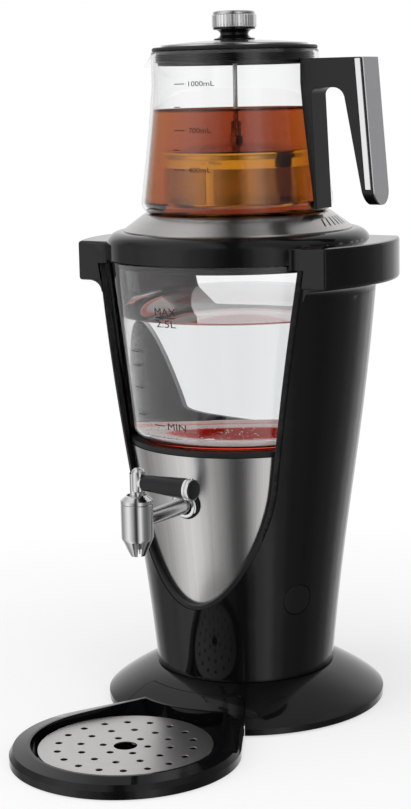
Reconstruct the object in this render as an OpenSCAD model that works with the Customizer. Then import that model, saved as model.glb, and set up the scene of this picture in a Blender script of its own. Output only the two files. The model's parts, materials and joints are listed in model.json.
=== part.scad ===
// Electric samovar: glass boiler in a moulded body, a teapot with an infuser on top of it,
// a plug tap at the front and a drip tray docked in the base.
// Millimetres. Z is up, the axis of the boiler is Z, the table is z = 0.
// The front is -Y. Directions round the axis are turns in degrees from the front towards +X.

/* [Base] */
// Radius of the base rim
base_r = 102.5; // [98:0.5:108]
// Height of the upright band of the base rim above the table
base_rim_z = 5.5; // [4.5:0.5:7]
// Height at which the base meets the body
base_top_z = 27; // [24:0.5:30]
// Wall of the base
base_wall = 2.4; // [1.8:0.1:3]
// Thickness of the rubber ring under the base
foot_h = 3; // [2:0.5:4]

/* [Body] */
// Radius of the body cone at the table plane
body_foot_r = 62.4; // [60:0.2:65]
// Growth of the body radius for each millimetre of height
body_slope = 0.119; // [0.11:0.001:0.13]
// Height of the faint wave in the body's side
body_wave = 1.25; // [0:0.05:2]
// Wall of the moulded body
body_wall = 2.8; // [2.2:0.1:3.2]
// Height at which the body ends and the cover begins
body_top_z = 324; // [320:1:330]
// Turn of the seam between the housing and the rear cover
seam_turn = 105; // [100:1:108]
// Gap of the seams between moulded shells
seam_gap = 0.3; // [0.2:0.05:0.5]

/* [Front opening] */
// Half width of the opening where its straight sides begin
opening_half_w = 62; // [58:0.5:64]
// Half width that the opening gains for each millimetre above that
opening_slope = 0.15; // [0.12:0.01:0.16]
// Height of the lowest point of the opening
opening_low_z = 80; // [76:1:90]
// Height at which the round bottom of the opening turns into its sides
opening_side_z = 172; // [168:1:176]
// Width of the dark trim that frames the opening
trim_w = 3.3; // [2.6:0.1:4]
// Depth of the steel panel below the body surface
panel_depth = 4.5; // [4.2:0.1:5]
// Thickness of the steel panel
panel_t = 0.8; // [0.6:0.1:1]

/* [Boiler] */
// Height of the underside of the glass
glass_low_z = 197.8; // [195:0.2:200]
// Height of the glass above its underside
glass_h = 129.5; // [120:0.5:130]
// Outer radius of the glass above its bottom corner
glass_low_r = 82; // [80:0.5:83]
// Outer radius that the glass gains for each millimetre of height
glass_slope = 0.0955; // [0.08:0.0005:0.1]
// Wall of the boiler glass
glass_wall = 2.8; // [2:0.1:3.2]
// Radius of the bottom corner of the boiler glass
glass_corner_r = 10; // [8:0.5:12]
// Radius of the round opening in the bottom of the glass
glass_hole_r = 64; // [60:0.5:66]
// Radius of the steel floor of the boiler
heater_r = 69; // [68:0.5:70]
// Height of the black ring under the glass
ring_h = 3.6; // [3:0.1:4.5]

/* [Lugs] */
// Radius of the outer face of the lugs
lug_r = 115.8; // [112:0.2:118]
// Half width of the lugs
lug_half_w = 56; // [50:0.5:58]
// Height of the lower lug below the parting plane
lug_low_h = 13; // [11:0.5:14]
// Height of the upper lug above the parting plane
lug_up_h = 15.5; // [12:0.5:17]
// Radius of the hollow corner beside each lug
lug_fillet_r = 6; // [4:0.5:7]
// Rounding of the edges of the lugs
lug_edge = 2; // [1:0.2:3]

/* [Cover] */
// Outer radius of the cover ring
cover_r = 95; // [94.4:0.1:96]
// Height of the underside of the cover ring above the parting plane
cover_lift = 3.6; // [3.4:0.1:4.5]
// Height of the steel ring's seat above the parting plane
cover_h = 22.6; // [21:0.2:24]
// Radius of the top of the cover ring where its round shoulder ends
cover_top_r = 84; // [83:0.5:86]
// Outer radius of the foot of the steel ring
stand_low_r = 82.3; // [81:0.1:83]
// Outer radius of the shoulder of the steel ring
stand_top_r = 66.6; // [65:0.1:68]
// Height of the steel ring
stand_h = 12.2; // [10:0.2:14]
// Radius of the steam opening in the steel ring
steam_r = 52; // [46:0.5:56]
// Thickness of the steel ring
stand_t = 1; // [0.8:0.1:1.2]
// Number of slanted slots in the steel ring
slot_count = 6; // [3:1:8]
// Length of each slot
slot_len = 10; // [7:0.5:11]
// Width of each slot
slot_w = 1.6; // [1.2:0.1:2]

/* [Teapot] */
// Largest radius of the teapot, just above its foot
pot_foot_r = 68.8; // [66:0.2:70]
// Radius of the neck of the teapot
pot_neck_r = 59.4; // [58.8:0.2:60]
// Height of the teapot glass
pot_h = 113.6; // [112:0.2:116]
// Wall of the teapot glass
pot_wall = 2.2; // [1.8:0.1:2.4]
// Radius of the bottom corner of the teapot glass
pot_corner_r = 8; // [6:0.5:9]
// Reach of the pouring lip from the axis
lip_reach = 75.8; // [72:0.2:78]
// Half width of the handle
grip_half_w = 10.7; // [9:0.1:12]
// Height of the top of the handle's arm above the foot of the teapot
grip_top_h = 106.4; // [104:0.2:108]
// Thickness of the handle's arm
arm_h = 20; // [17:0.5:22]
// Thickness of the satin plate on the grip
plate_t = 1.5; // [1.2:0.1:2]

/* [Lid] */
// Set-back of the lid's flange from the side of the neck
lid_inset = 0.7; // [0.2:0.1:1.4]
// Gap between the neck and the lid's collar, which the gasket fills
collar_gap = 2.6; // [2.2:0.1:4]
// Depth of the collar below the teapot rim
collar_h = 10; // [8:0.5:12]
// Set-back of the lid's steel plate from its flange
lid_plate_inset = 6.4; // [5.6:0.1:8]
// Rise of the steel plate at its middle
lid_crown = 2.9; // [2:0.1:4]
// Radius of the knob
knob_r = 15.8; // [14:0.1:17]
// Number of ribs round the knob
knob_ribs = 40; // [24:1:48]

/* [Infuser] */
// Outer radius of the infuser basket
basket_r = 47.2; // [44:0.2:48]
// Height of the basket from its underside to its rim
basket_h = 33.4; // [28:0.2:35]
// Wall of the infuser
infuser_wall = 1; // [0.8:0.1:1.2]
// Height of the domed cap above the basket
infuser_cap_h = 10.5; // [9:0.1:11]
// Radius of the infuser rod
rod_r = 1.6; // [1.4:0.1:2]

/* [Tap] */
// Distance of the tap's upright axis from the boiler's axis
tap_reach = 138; // [132:1:144]
// Height of the axis of the tap's pipe
tap_z = 159; // [155:0.5:162]
// Outer radius of the tap barrel
barrel_r = 11; // [10.4:0.1:12]
// Radius of the tap plug
plug_r = 6; // [5.6:0.1:6.4]
// Running clearance of the plug in its seat
plug_gap = 0.05; // [0.03:0.01:0.1]
// Radius of the waterway
way_r = 3.6; // [3:0.1:3.8]
// Outer radius of the tap's pipe
pipe_r = 6.1; // [5.8:0.1:6.6]
// Length of the lever from the stem's axis
lever_len = 50; // [44:0.5:56]
// Radius of the lever's grip at its end
lever_end_r = 7.5; // [6.8:0.1:8]
// Turn of the lever towards the front
lever_skew = 5; // [0:1:10]

/* [Tray] */
// Distance of the middle of the tray from the boiler's axis
tray_reach = 159.6; // [157:0.2:162]
// Outer radius of the tray
tray_r = 79; // [77:0.5:80]
// Radius of the tray's bowl
bowl_r = 64.5; // [63:0.5:65]
// Height of the ridge round the bowl
ridge_z = 12; // [11:0.2:13]
// Half angle of the tongue that docks in the base
tongue_turn = 30; // [27:0.5:30]
// Radius at which the tongue meets the base
tongue_r = 78.5; // [77:0.5:80]
// Gap between the tongue and its dock
tongue_gap = 0.4; // [0.3:0.05:0.6]
// Radius of the drip plate
drip_r = 59.7; // [57:0.1:60.5]
// Height of the top of the drip plate
drip_z = 8; // [7.5:0.1:8.6]
// Radius of the drain hole in the middle of the drip plate
drain_r = 7.9; // [6:0.1:9]
// Radius of the small holes of the drip plate
drip_hole_r = 2.35; // [1.8:0.05:2.6]

/* [Button and inlet] */
// Radius of the power button
button_r = 11; // [9:0.1:12]
// Turn of the power button from the front
button_turn = 63; // [58:1:68]
// Height of the power button
button_z = 86.7; // [80:0.5:95]
// Travel of the power button
button_travel = 2; // [1:0.1:2.4]
// Radius of the bore of the lead inlet
inlet_r = 3.4; // [3:0.1:3.8]

/* [Hidden] */
$fn = 96;

// A little extra, so that cuts go right through
over = 1;
// Running clearance of pieces that lift off or slide
slip = 0.3;

black = [0.07, 0.07, 0.08];
dark_grey = [0.2, 0.2, 0.21];
steel = [0.66, 0.64, 0.62];
chrome = [0.8, 0.8, 0.82];
clear_glass = [0.85, 0.9, 0.92, 0.35];
silicone = [0.75, 0.73, 0.7];

// Body
wave_rate = 1.2;
wave_z = 165;
// The side of the body is a stack of cones between these heights
knot_step = 24;
function knot_r(i) = let (z = i * knot_step)
  body_foot_r + body_slope * z + body_wave * sin(wave_rate * (z - wave_z));
function body_r(z) = let (i = floor(z / knot_step), t = z / knot_step - i)
  (1 - t) * knot_r(i) + t * knot_r(i + 1);
function body_lean(z) = let (i = floor(z / knot_step)) atan((knot_r(i + 1) - knot_r(i)) / knot_step);
body_low_z = base_top_z + seam_gap;
crown_z = body_top_z - lug_low_h;
// Height at which the rear cover ends, a little below the lugs
split_z = crown_z - 1.5;
rear_top_half_w = 83;
rear_low_z = glass_low_z + 2;
rear_side_z = rear_low_z + 14;
rear_side_half_w = 62;

// Boiler
glass_top_z = glass_low_z + glass_h;
glass_side_z = glass_low_z + glass_corner_r;
function glass_r(z) = glass_low_r + glass_slope * (z - glass_side_z);
ring_low_z = glass_low_z - ring_h;
ring_r = glass_low_r - 1;
ledge_t = 4;
ledge_turns = [75, 135, -75, -135];
ledge_r = 76;
panel_top_z = ring_low_z - seam_gap;
seal_t = 1;
floor_z = glass_low_z + glass_wall + seal_t;
floor_t = 1;
outlet_y = -38;
hose_r = 7;
hose_bore_r = 4.9;
spigot_r = hose_bore_r - 0.05;
spigot_bore_r = 3.7;
spigot_h = 20;

// Tap
tap_y = -tap_reach;
shank_r = pipe_r - 0.1;
panel_y = -(body_r(tap_z) - panel_depth);
hose_bend_r = 14;

// Cover, teapot and lid
cover_low_z = body_top_z + cover_lift;
seat_z = body_top_z + cover_h;
stand_z = seat_z + stand_h;
rim_z = stand_z + pot_h;
pot_inner_r = pot_neck_r - pot_wall;
lid_r = pot_neck_r - lid_inset;
collar_r = pot_inner_r - collar_gap;
lid_plate_r = lid_r - lid_plate_inset;
lid_z = rim_z;
lid_ring_h = 2.6;
plate_z = lid_z + lid_ring_h;

// Infuser
basket_z = stand_z + pot_wall + 2.6;
basket_top_z = basket_z + basket_h;
cap_top_z = basket_top_z + infuser_cap_h;

// Base and tray
skirt_low_z = 1;
dock_wall = 2;
flare_power = 1.74;
tray_low_z = 0.8;
tray_band_z = 6.2;
tray_y = -tray_reach;

// Button
button_lean = body_lean(button_z);

// Points along an arc about a centre, from one direction to another
function arc(c, r, from, to, steps = 8) =
  [for (i = [0:steps]) let (a = from + (to - from) * i / steps) c + r * [cos(a), sin(a)]];
function reverse(points) = [for (i = [len(points) - 1:-1:0]) points[i]];
function body_curve(low, high, inset) = concat(
  [[body_r(low) - inset, low]],
  [for (i = [floor(low / knot_step) + 1:ceil(high / knot_step) - 1]) [knot_r(i) - inset, i * knot_step]],
  [[body_r(high) - inset, high]]);

// A ring section turned from one direction to another
module turned(from, to) {
  rotate([0, 0, from - 90])
    rotate_extrude(angle = to - from)
      children();
}

// Puts what points along -Y in a direction round the axis
module facing(turn) {
  rotate([0, 0, turn])
    children();
}

// Section of a shell that follows the body's side
module body_section(low, high, outer_inset, inner_inset) {
  polygon(concat(body_curve(low, high, outer_inset), reverse(body_curve(low, high, inner_inset))));
}

// The whole body as a solid, its side set in by a distance
module body_core(inset, low, high) {
  rotate_extrude()
    polygon(concat([[0, low]], body_curve(low, high, inset), [[0, high]]));
}

// The U outline of the front opening, set in by a distance
opening_steps = 14;
function opening_w(z) = opening_half_w + opening_slope * (z - opening_side_z);
function opening_edge(inset) = concat(
  [for (i = [0:opening_steps])
    let (t = 90 * i / opening_steps, z = opening_side_z - (opening_side_z - opening_low_z - inset) * cos(t))
    [(opening_w(z) - inset) * sin(t), z]],
  [[opening_w(body_top_z + 2 * over) - inset, body_top_z + 2 * over]]);
// Closes an edge that starts on the middle line with its own mirror image
function both_sides(edge) =
  concat(edge, [for (i = [len(edge) - 1:-1:1]) [-edge[i][0], edge[i][1]]]);
module opening_outline(inset) {
  polygon(both_sides(opening_edge(inset)));
}
module opening_cut(inset) {
  rotate([90, 0, 0])
    linear_extrude(body_r(body_top_z) + 2 * lug_low_h)
      opening_outline(inset);
}

// The outline of the rear window, set in by a distance
function rear_edge_points(inset) = concat(
  [for (i = [0:opening_steps])
    let (t = 90 * i / opening_steps)
    [(rear_side_half_w - inset) * sin(t), rear_side_z - (rear_side_z - rear_low_z - inset) * cos(t)]],
  [[rear_top_half_w - inset, body_top_z + 2 * over]]);
module rear_cut(inset) {
  rotate([90, 0, 180])
    linear_extrude(body_r(body_top_z) + 2 * lug_low_h)
      polygon(both_sides(rear_edge_points(inset)));
}

// Plan points at a radius and a turn from the front
function plan(r, turn) = [r * sin(turn), -r * cos(turn)];

// Base: the flare, its dock and what closes it
base_neck_r = body_r(base_top_z) + 0.7;
flare_steps = 12;
flare_inset = base_wall * 0.73;
spigot_wall = 2.4;
spigot_outer_r = body_r(body_low_z) - body_wall - slip;
spigot_top_z = base_top_z + 9;
plate_low_z = foot_h;
plate_h = 1.8;
plate_r = base_r - base_wall - slip - 0.2;
foot_r = base_r - 10.5;
foot_w = 7;
foot_turn = 40;
post_r = 4;
post_reach = base_r - 17.5;
post_turns = [50, 130, -50, -130];
boss_turns = [45, 135, -45, -135];
boss_reach = 54;
boss_h = 15;
screw_r = 1.5;
screw_head_r = 3;
inlet_z = 13.5;
inlet_face_y = base_r - 5.5;
inlet_boss_r = 9;

function flare_curve(inset) =
  [for (i = [0:flare_steps])
    let (a = 90 * i / flare_steps)
    [base_neck_r - inset + (base_r - base_neck_r) * pow(sin(a), flare_power),
     base_rim_z - inset + (base_top_z - base_rim_z) * pow(cos(a), flare_power)]];

// The whole flare as a solid
module flare_solid(inset) {
  rotate_extrude()
    polygon(concat([[0, base_top_z - inset]], flare_curve(inset),
      [[base_r - inset, skirt_low_z], [0, skirt_low_z]]));
}

// Plan of the dock: a sector with rounded inner corners
module dock_outline(r, turn, corner) {
  corner_reach = r + corner;
  corner_turn = turn - asin(corner / corner_reach);
  arc_steps = 6;
  polygon(both_sides(concat(
    [for (i = [0:arc_steps]) plan(r, corner_turn * i / arc_steps)],
    [for (i = [1:arc_steps])
      let (a = corner_turn + 90 + (turn - corner_turn - 90) * i / arc_steps)
      plan(corner_reach, corner_turn) + corner * [cos(a), sin(a)]],
    [plan(base_r + over + tray_r / 2, turn)])));
}
dock_corner_r = 6;
dock_gap_turn = tongue_gap / tongue_r * 180 / PI;
dock_wall_turn = (tongue_gap + dock_wall) / tongue_r * 180 / PI;
module dock_hole() {
  dock_outline(tongue_r - tongue_gap, tongue_turn + dock_gap_turn, dock_corner_r + tongue_gap);
}
module dock_wall_outline() {
  dock_outline(tongue_r - tongue_gap - dock_wall, tongue_turn + dock_wall_turn,
    dock_corner_r + tongue_gap + dock_wall);
}

module inlet_place(y) {
  translate([0, y, inlet_z])
    rotate([-90, 0, 0])
      children();
}

module base_skirt() {
  color(black)
  difference() {
    union() {
      difference() {
        union() {
          rotate_extrude() {
            polygon(concat(flare_curve(0), [[base_r, skirt_low_z], [base_r - base_wall, skirt_low_z]],
              reverse(flare_curve(flare_inset))));
            translate([spigot_outer_r - spigot_wall, base_top_z - base_wall])
              square([base_neck_r - spigot_outer_r + spigot_wall, base_wall]);
            translate([spigot_outer_r - spigot_wall, base_top_z - base_wall])
              square([spigot_wall, spigot_top_z - base_top_z + base_wall]);
          }
          intersection() {
            inlet_place(base_neck_r)
              cylinder(r=inlet_boss_r, h=inlet_face_y - base_neck_r);
            translate([-inlet_boss_r, 0, plate_low_z + plate_h + slip])
              cube([2 * inlet_boss_r, base_r, base_top_z]);
          }
          intersection() {
            flare_solid(flare_inset / 2);
            for (turn = post_turns)
              facing(turn)
                translate([0, -post_reach, plate_low_z + plate_h])
                  cylinder(r=post_r, h=base_top_z, $fn=32);
          }
        }
        linear_extrude(base_top_z)
          dock_hole();
        inlet_place(base_neck_r - 2 * over)
          cylinder(r=inlet_boss_r - base_wall, h=inlet_face_y - base_neck_r - base_wall);
      }
      intersection() {
        flare_solid(0);
        linear_extrude(base_top_z)
          difference() {
            dock_wall_outline();
            dock_hole();
          }
      }
      for (turn = boss_turns)
        facing(turn)
          translate([0, -boss_reach, base_top_z - base_wall]) {
            cylinder(r=post_r + 2, h=base_wall, $fn=48);
            translate([-post_r - 2, spigot_wall + boss_reach - spigot_outer_r - over, 0])
              cube([2 * post_r + 4, spigot_outer_r - boss_reach, base_wall]);
          }
    }
    inlet_place(0)
      cylinder(r=gland_r + 0.05, h=base_r);
    inlet_place(inlet_face_y)
      cylinder(r=gland_flange_r + slip, h=base_r);
    for (turn = post_turns)
      facing(turn)
        translate([0, -post_reach, 0])
          cylinder(r=screw_r + 0.05, h=plate_low_z + plate_h + 8, $fn=24);
    for (turn = boss_turns)
      facing(turn)
        translate([0, -boss_reach, 0])
          cylinder(r=screw_r + 0.1, h=base_top_z + over, $fn=24);
  }
}

module bottom_plate() {
  color(black)
  difference() {
    translate([0, 0, plate_low_z])
      cylinder(r=plate_r, h=plate_h);
    linear_extrude(base_top_z)
      offset(delta=slip)
        dock_wall_outline();
    for (turn = post_turns)
      facing(turn)
        translate([0, -post_reach, 0])
          cylinder(r=screw_r + 0.1, h=base_top_z, $fn=24);
    for (row = [-3:3])
      translate([-18, row * 8 - 1.5, 0])
        cube([36, 3, base_top_z]);
  }
}

module foot_ring() {
  color(dark_grey)
  turned(foot_turn, 360 - foot_turn)
    translate([foot_r - foot_w / 2, 0])
      square([foot_w, foot_h]);
}

// A screw whose head is below and whose point is above
module screw(head_r, head_h, r, length) {
  translate([0, 0, -head_h])
    difference() {
      cylinder(r=head_r, h=head_h, $fn=32);
      translate([-head_r * 0.6, -0.4, -over])
        cube([head_r * 1.2, 0.8, over + head_h * 0.5]);
      translate([-0.4, -head_r * 0.6, -over])
        cube([0.8, head_r * 1.2, over + head_h * 0.5]);
    }
  cylinder(r=r, h=length, $fn=24);
}

module base_screws() {
  color(steel) {
    for (turn = post_turns)
      facing(turn)
        translate([0, -post_reach, plate_low_z])
          screw(screw_head_r, 1.6, screw_r, plate_h + 7);
    for (turn = boss_turns)
      facing(turn)
        translate([0, -boss_reach, base_top_z - base_wall])
          screw(screw_head_r, 1.6, screw_r, base_wall + 9);
  }
}

gland_r = 5.4;
gland_flange_r = 7;
gland_flange_t = 1.5;
module cord_gland() {
  color(dark_grey)
  difference() {
    union() {
      inlet_place(inlet_face_y - base_wall - gland_flange_t)
        cylinder(r=gland_r, h=base_wall + 2 * gland_flange_t);
      inlet_place(inlet_face_y)
        cylinder(r=gland_flange_r, h=gland_flange_t);
    }
    inlet_place(0)
      cylinder(r=inlet_r, h=base_r);
  }
}

// Housing: moulded shell with the U opening, two pillars and the lower lugs
seam_gap_turn = seam_gap / body_r(wave_z) * 180 / PI;
tongue_span = 7;
tongue_t = 1.5;
ledge_span = 8;
ledge_screw_r = 77.6;
ledge_web_h = 12;
ledge_head_r = 2.6;
lug_inner_x = 70;

// Outline of a lug from above, set in by a distance
module lug_outline(inset) {
  offset(r=lug_edge, $fn=32)
    offset(delta=-lug_edge - inset)
      intersection() {
        circle(r=lug_r);
        translate([lug_inner_x, -lug_half_w])
          square([lug_r, 2 * lug_half_w]);
      }
}

// A block with the outline of a lug, its edges rounded at one end
module lug_block(low, high, low_edge, high_edge) {
  hull() {
    translate([0, 0, low + low_edge])
      linear_extrude(high - low - low_edge - high_edge)
        lug_outline(0);
    translate([0, 0, low + low_edge * 0.3])
      linear_extrude(high - low - (low_edge + high_edge) * 0.3)
        lug_outline((low_edge + high_edge) * 0.3);
    translate([0, 0, low])
      linear_extrude(high - low)
        lug_outline(low_edge + high_edge);
  }
}

// Plan of the hollow corner between a round wall and the end face of a lug
module hollow_corner(ring_r, end_y, r) {
  cy = end_y + r;
  cx = sqrt(pow(ring_r + r, 2) - cy * cy);
  touch = ring_r / (ring_r + r);
  difference() {
    polygon([[cx + over, -end_y + over], [cx + over, -end_y], [cx, -cy], [cx * touch, -cy * touch],
      [(cx - r) * touch, -cy * touch + r / 2], [cx - r, -end_y + over]]);
    translate([cx, -cy])
      circle(r=r);
  }
}

// Hollow fillet under the lower lug, along the pillar
module under_lug_fillet(r) {
  wall_r = body_r(crown_z);
  intersection() {
    rotate_extrude()
      difference() {
        translate([wall_r - r / 2, crown_z - r])
          square([r * 1.5, r + over]);
        translate([wall_r + r, crown_z - r])
          circle(r=r);
      }
    translate([lug_inner_x, -lug_half_w + lug_edge, 0])
      cube([lug_r, 2 * (lug_half_w - lug_edge), body_top_z]);
  }
}
under_lug_r = 8;

module lower_lug() {
  difference() {
    union() {
      lug_block(crown_z, body_top_z + over, lug_edge, 0);
      intersection() {
        under_lug_fillet(under_lug_r);
        turned_solid(seam_turn / 3, seam_turn, body_top_z);
      }
    }
    body_core(body_wall / 2, crown_z - under_lug_r - over, body_top_z + 2 * over);
  }
}

// A wedge of space between two turns, from the table up to a height
module turned_solid(from, to, high) {
  turned(from, to)
    square([2 * lug_r, high]);
}

// The space above the parting plane
module above_body() {
  translate([0, 0, body_top_z])
    cylinder(r=2 * lug_r, h=lug_up_h);
}

module ledge(turn) {
  intersection() {
    body_core(body_wall / 2, base_top_z, body_top_z);
    turned(turn - ledge_span, turn + ledge_span)
      polygon([[ledge_r - 3, ring_low_z], [lug_r, ring_low_z], [lug_r, ring_low_z - ledge_t - ledge_web_h],
        [body_r(ring_low_z) - body_wall - 1, ring_low_z - ledge_t - ledge_web_h],
        [ledge_r - 3, ring_low_z - ledge_t]]);
  }
}

// Upright boss inside the bottom of a shell, on a rib
module shell_boss(turn) {
  intersection() {
    body_core(body_wall / 2, body_low_z, body_top_z);
    facing(turn)
      translate([0, -boss_reach, body_low_z]) {
        cylinder(r=post_r, h=boss_h, $fn=32);
        translate([-1.2, -2 * post_r - spigot_wall, spigot_top_z - body_low_z + slip])
          cube([2.4, 2 * post_r, boss_h - spigot_top_z + body_low_z - slip]);
      }
  }
}
module shell_boss_bore(turn) {
  facing(turn)
    translate([0, -boss_reach, base_top_z])
      cylinder(r=screw_r + 0.05, h=boss_h - 3, $fn=24);
}
module ledge_bore(turn) {
  facing(turn)
    translate([0, -ledge_screw_r, ring_low_z - ledge_t - ledge_web_h]) {
      cylinder(r=screw_r + 0.1, h=ledge_web_h + ledge_t + over, $fn=24);
      cylinder(r=ledge_head_r + 0.4, h=ledge_web_h, $fn=24);
    }
}

// The button's own frame: z along the outward normal of the body, y up along its side
module at_button() {
  facing(button_turn)
    translate([0, -body_r(button_z), button_z])
      rotate([90 + button_lean, 0, 0])
        children();
}
function from_button(p) =
  let (y = -body_r(button_z) - p[1] * sin(button_lean) - p[2] * cos(button_lean))
  [p[0] * cos(button_turn) - y * sin(button_turn), p[0] * sin(button_turn) + y * cos(button_turn),
   button_z + p[1] * cos(button_lean) - p[2] * sin(button_lean)];
button_gap = 0.35;
button_flange = 1.2;
button_flange_t = 1.3;
button_seat = body_wall + 1.8;
button_boss_depth = 12;
button_boss_wall = 2;
board_depth = 16;
board_w = 44;
board_low = -24;
board_h = 60;
board_t = 1.6;
block_top = 33;
block_t = 9;
board_post_x = 18;
board_posts = [for (x = [-board_post_x, board_post_x]) for (y = [board_low + 4, board_low + board_h - 4]) [x, y]];

module housing() {
  color(black)
  difference() {
    union() {
      rotate_extrude()
        body_section(body_low_z, body_top_z + over, 0, body_wall);
      for (side = [0, 1])
        mirror([side, 0, 0]) {
          lower_lug();
          ledge(ledge_turns[0]);
          shell_boss(boss_turns[0]);
        }
      intersection() {
        body_core(body_wall / 2, body_low_z, body_top_z);
        union() {
          at_button()
            translate([0, 0, -button_boss_depth])
              cylinder(r=button_r + button_flange + button_gap + button_boss_wall, h=button_boss_depth);
          at_button()
            for (p = board_posts)
              translate([p[0], p[1], -board_depth])
                cylinder(r=3, h=board_depth, $fn=32);
        }
      }
    }
    turned_solid(seam_turn, 360 - seam_turn, split_z);
    opening_cut(0);
    rear_cut(0);
    above_body();
    for (side = [0, 1])
      mirror([side, 0, 0]) {
        shell_boss_bore(boss_turns[0]);
        ledge_bore(ledge_turns[0]);
      }
    at_button() {
      translate([0, 0, -button_boss_depth - over])
        cylinder(r=button_r + button_gap, h=button_boss_depth + 4 * over);
      translate([0, 0, -button_boss_depth - over])
        cylinder(r=button_r + button_flange + button_gap, h=button_boss_depth + over - button_seat);
      for (p = board_posts)
        translate([p[0], p[1], -board_depth - over])
          cylinder(r=1.05, h=6, $fn=24);
    }
  }
}

module rear_cover() {
  color(black)
  difference() {
    union() {
      turned(seam_turn + seam_gap_turn, 360 - seam_turn - seam_gap_turn)
        body_section(body_low_z, split_z - seam_gap, 0, body_wall);
      for (side = [0, 1])
        mirror([side, 0, 0]) {
          turned(seam_turn - tongue_span, seam_turn + tongue_span)
            body_section(spigot_top_z + 2, split_z - 2 * seam_gap, body_wall + 0.15, body_wall + tongue_t);
          turned(seam_turn + 2 * seam_gap_turn, seam_turn + tongue_span)
            body_section(spigot_top_z + 3, split_z - 1, body_wall / 2, body_wall + tongue_t / 2);
          ledge(ledge_turns[1]);
          shell_boss(boss_turns[1]);
        }
    }
    rear_cut(0);
    for (side = [0, 1])
      mirror([side, 0, 0]) {
        shell_boss_bore(boss_turns[1]);
        ledge_bore(ledge_turns[1]);
      }
  }
}

module body_screws() {
  color(steel) {
    for (turn = ledge_turns)
      facing(turn)
        translate([0, -ledge_screw_r, ring_low_z - ledge_t])
          screw(ledge_head_r, 1.4, screw_r, ledge_t + ring_h - 0.6);
    at_button()
      for (p = board_posts)
        translate([p[0], p[1], -board_depth - board_t])
          screw(2, 1.2, 1, board_t + 4.4);
  }
}

// Front: steel panel behind a dark U frame
frame_lip = 5;
module front_panel() {
  color(steel)
  difference() {
    intersection() {
      turned(-60, 60)
        body_section(opening_low_z - frame_lip + over, panel_top_z, panel_depth, panel_depth + panel_t);
      opening_cut(-frame_lip + over);
    }
    translate([0, 0, tap_z])
      rotate([90, 0, 0])
        cylinder(r=shank_r + 0.4, h=2 * body_foot_r);
  }
}

module panel_trim() {
  color(dark_grey) {
    intersection() {
      turned(-70, 70)
        body_section(opening_low_z - over, body_top_z - slip, 0.5, panel_depth - 0.1);
      difference() {
        opening_cut(0.15);
        opening_cut(trim_w);
      }
    }
    intersection() {
      turned(-70, 70)
        body_section(opening_low_z - frame_lip, body_top_z - slip, body_wall + 0.1, panel_depth - 0.1);
      difference() {
        opening_cut(-frame_lip);
        opening_cut(trim_w);
      }
    }
  }
}

// Boiler: the black cup, the glass, its floor and what heats it
hub_r = 59;
hub_wall = 2;
hub_low_z = ring_low_z - 8;
lamp_in_r = 66;
lamp_out_r = 73;
lamp_depth = 2.4;
module boiler_base() {
  color(black)
  difference() {
    rotate_extrude()
      polygon([[hub_r, hub_low_z], [hub_r + hub_wall, hub_low_z], [hub_r + hub_wall, ring_low_z],
        [ring_r, ring_low_z], [ring_r, glass_low_z], [lamp_out_r, glass_low_z],
        [lamp_out_r, glass_low_z - lamp_depth], [lamp_in_r, glass_low_z - lamp_depth],
        [lamp_in_r, glass_low_z], [hub_r, glass_low_z]]);
    for (turn = ledge_turns)
      facing(turn)
        translate([0, -ledge_screw_r, ring_low_z - over])
          cylinder(r=screw_r + 0.05, h=over + ring_h - 0.4, $fn=24);
  }
}

module light_ring() {
  color([0.9, 0.3, 0.2])
  rotate_extrude()
    translate([lamp_in_r + 0.1, glass_low_z - lamp_depth])
      square([lamp_out_r - lamp_in_r - 0.2, lamp_depth - 0.1]);
}

glass_lean = atan(glass_slope);
glass_corner_x = glass_low_r - glass_corner_r / cos(glass_lean);
module boiler_glass() {
  corner = [glass_corner_x, glass_side_z];
  lip_r = glass_wall / 2;
  lip = [glass_r(glass_top_z - lip_r) - lip_r, glass_top_z - lip_r];
  color(clear_glass)
  rotate_extrude()
    polygon(concat([[glass_hole_r, glass_low_z]],
      arc(corner, glass_corner_r, -90, -glass_lean),
      arc(lip, lip_r, -glass_lean, 180 - glass_lean, 6),
      reverse(arc(corner, glass_corner_r - glass_wall, -90, -glass_lean)),
      [[glass_hole_r, glass_low_z + glass_wall]]));
}

module bottom_seal() {
  color(silicone)
  rotate_extrude()
    polygon([[glass_hole_r - 1.6, glass_low_z + 0.1], [glass_hole_r - 0.1, glass_low_z + 0.1],
      [glass_hole_r - 0.1, glass_low_z + glass_wall], [heater_r + over, glass_low_z + glass_wall],
      [heater_r + over, floor_z], [glass_hole_r - 1.6, floor_z]]);
}

module heater_plate() {
  rim_h = 2;
  color(steel)
  difference() {
    union() {
      rotate_extrude()
        polygon([[0, floor_z], [heater_r, floor_z], [heater_r, floor_z + floor_t + rim_h],
          [heater_r - floor_t, floor_z + floor_t + rim_h], [heater_r - floor_t, floor_z + floor_t],
          [0, floor_z + floor_t]]);
      translate([0, outlet_y, floor_z - spigot_h])
        cylinder(r=spigot_r, h=spigot_h + floor_t / 2, $fn=48);
    }
    translate([0, outlet_y, floor_z - spigot_h - over])
      cylinder(r=spigot_bore_r, h=spigot_h + 4 * over, $fn=48);
  }
}

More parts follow.
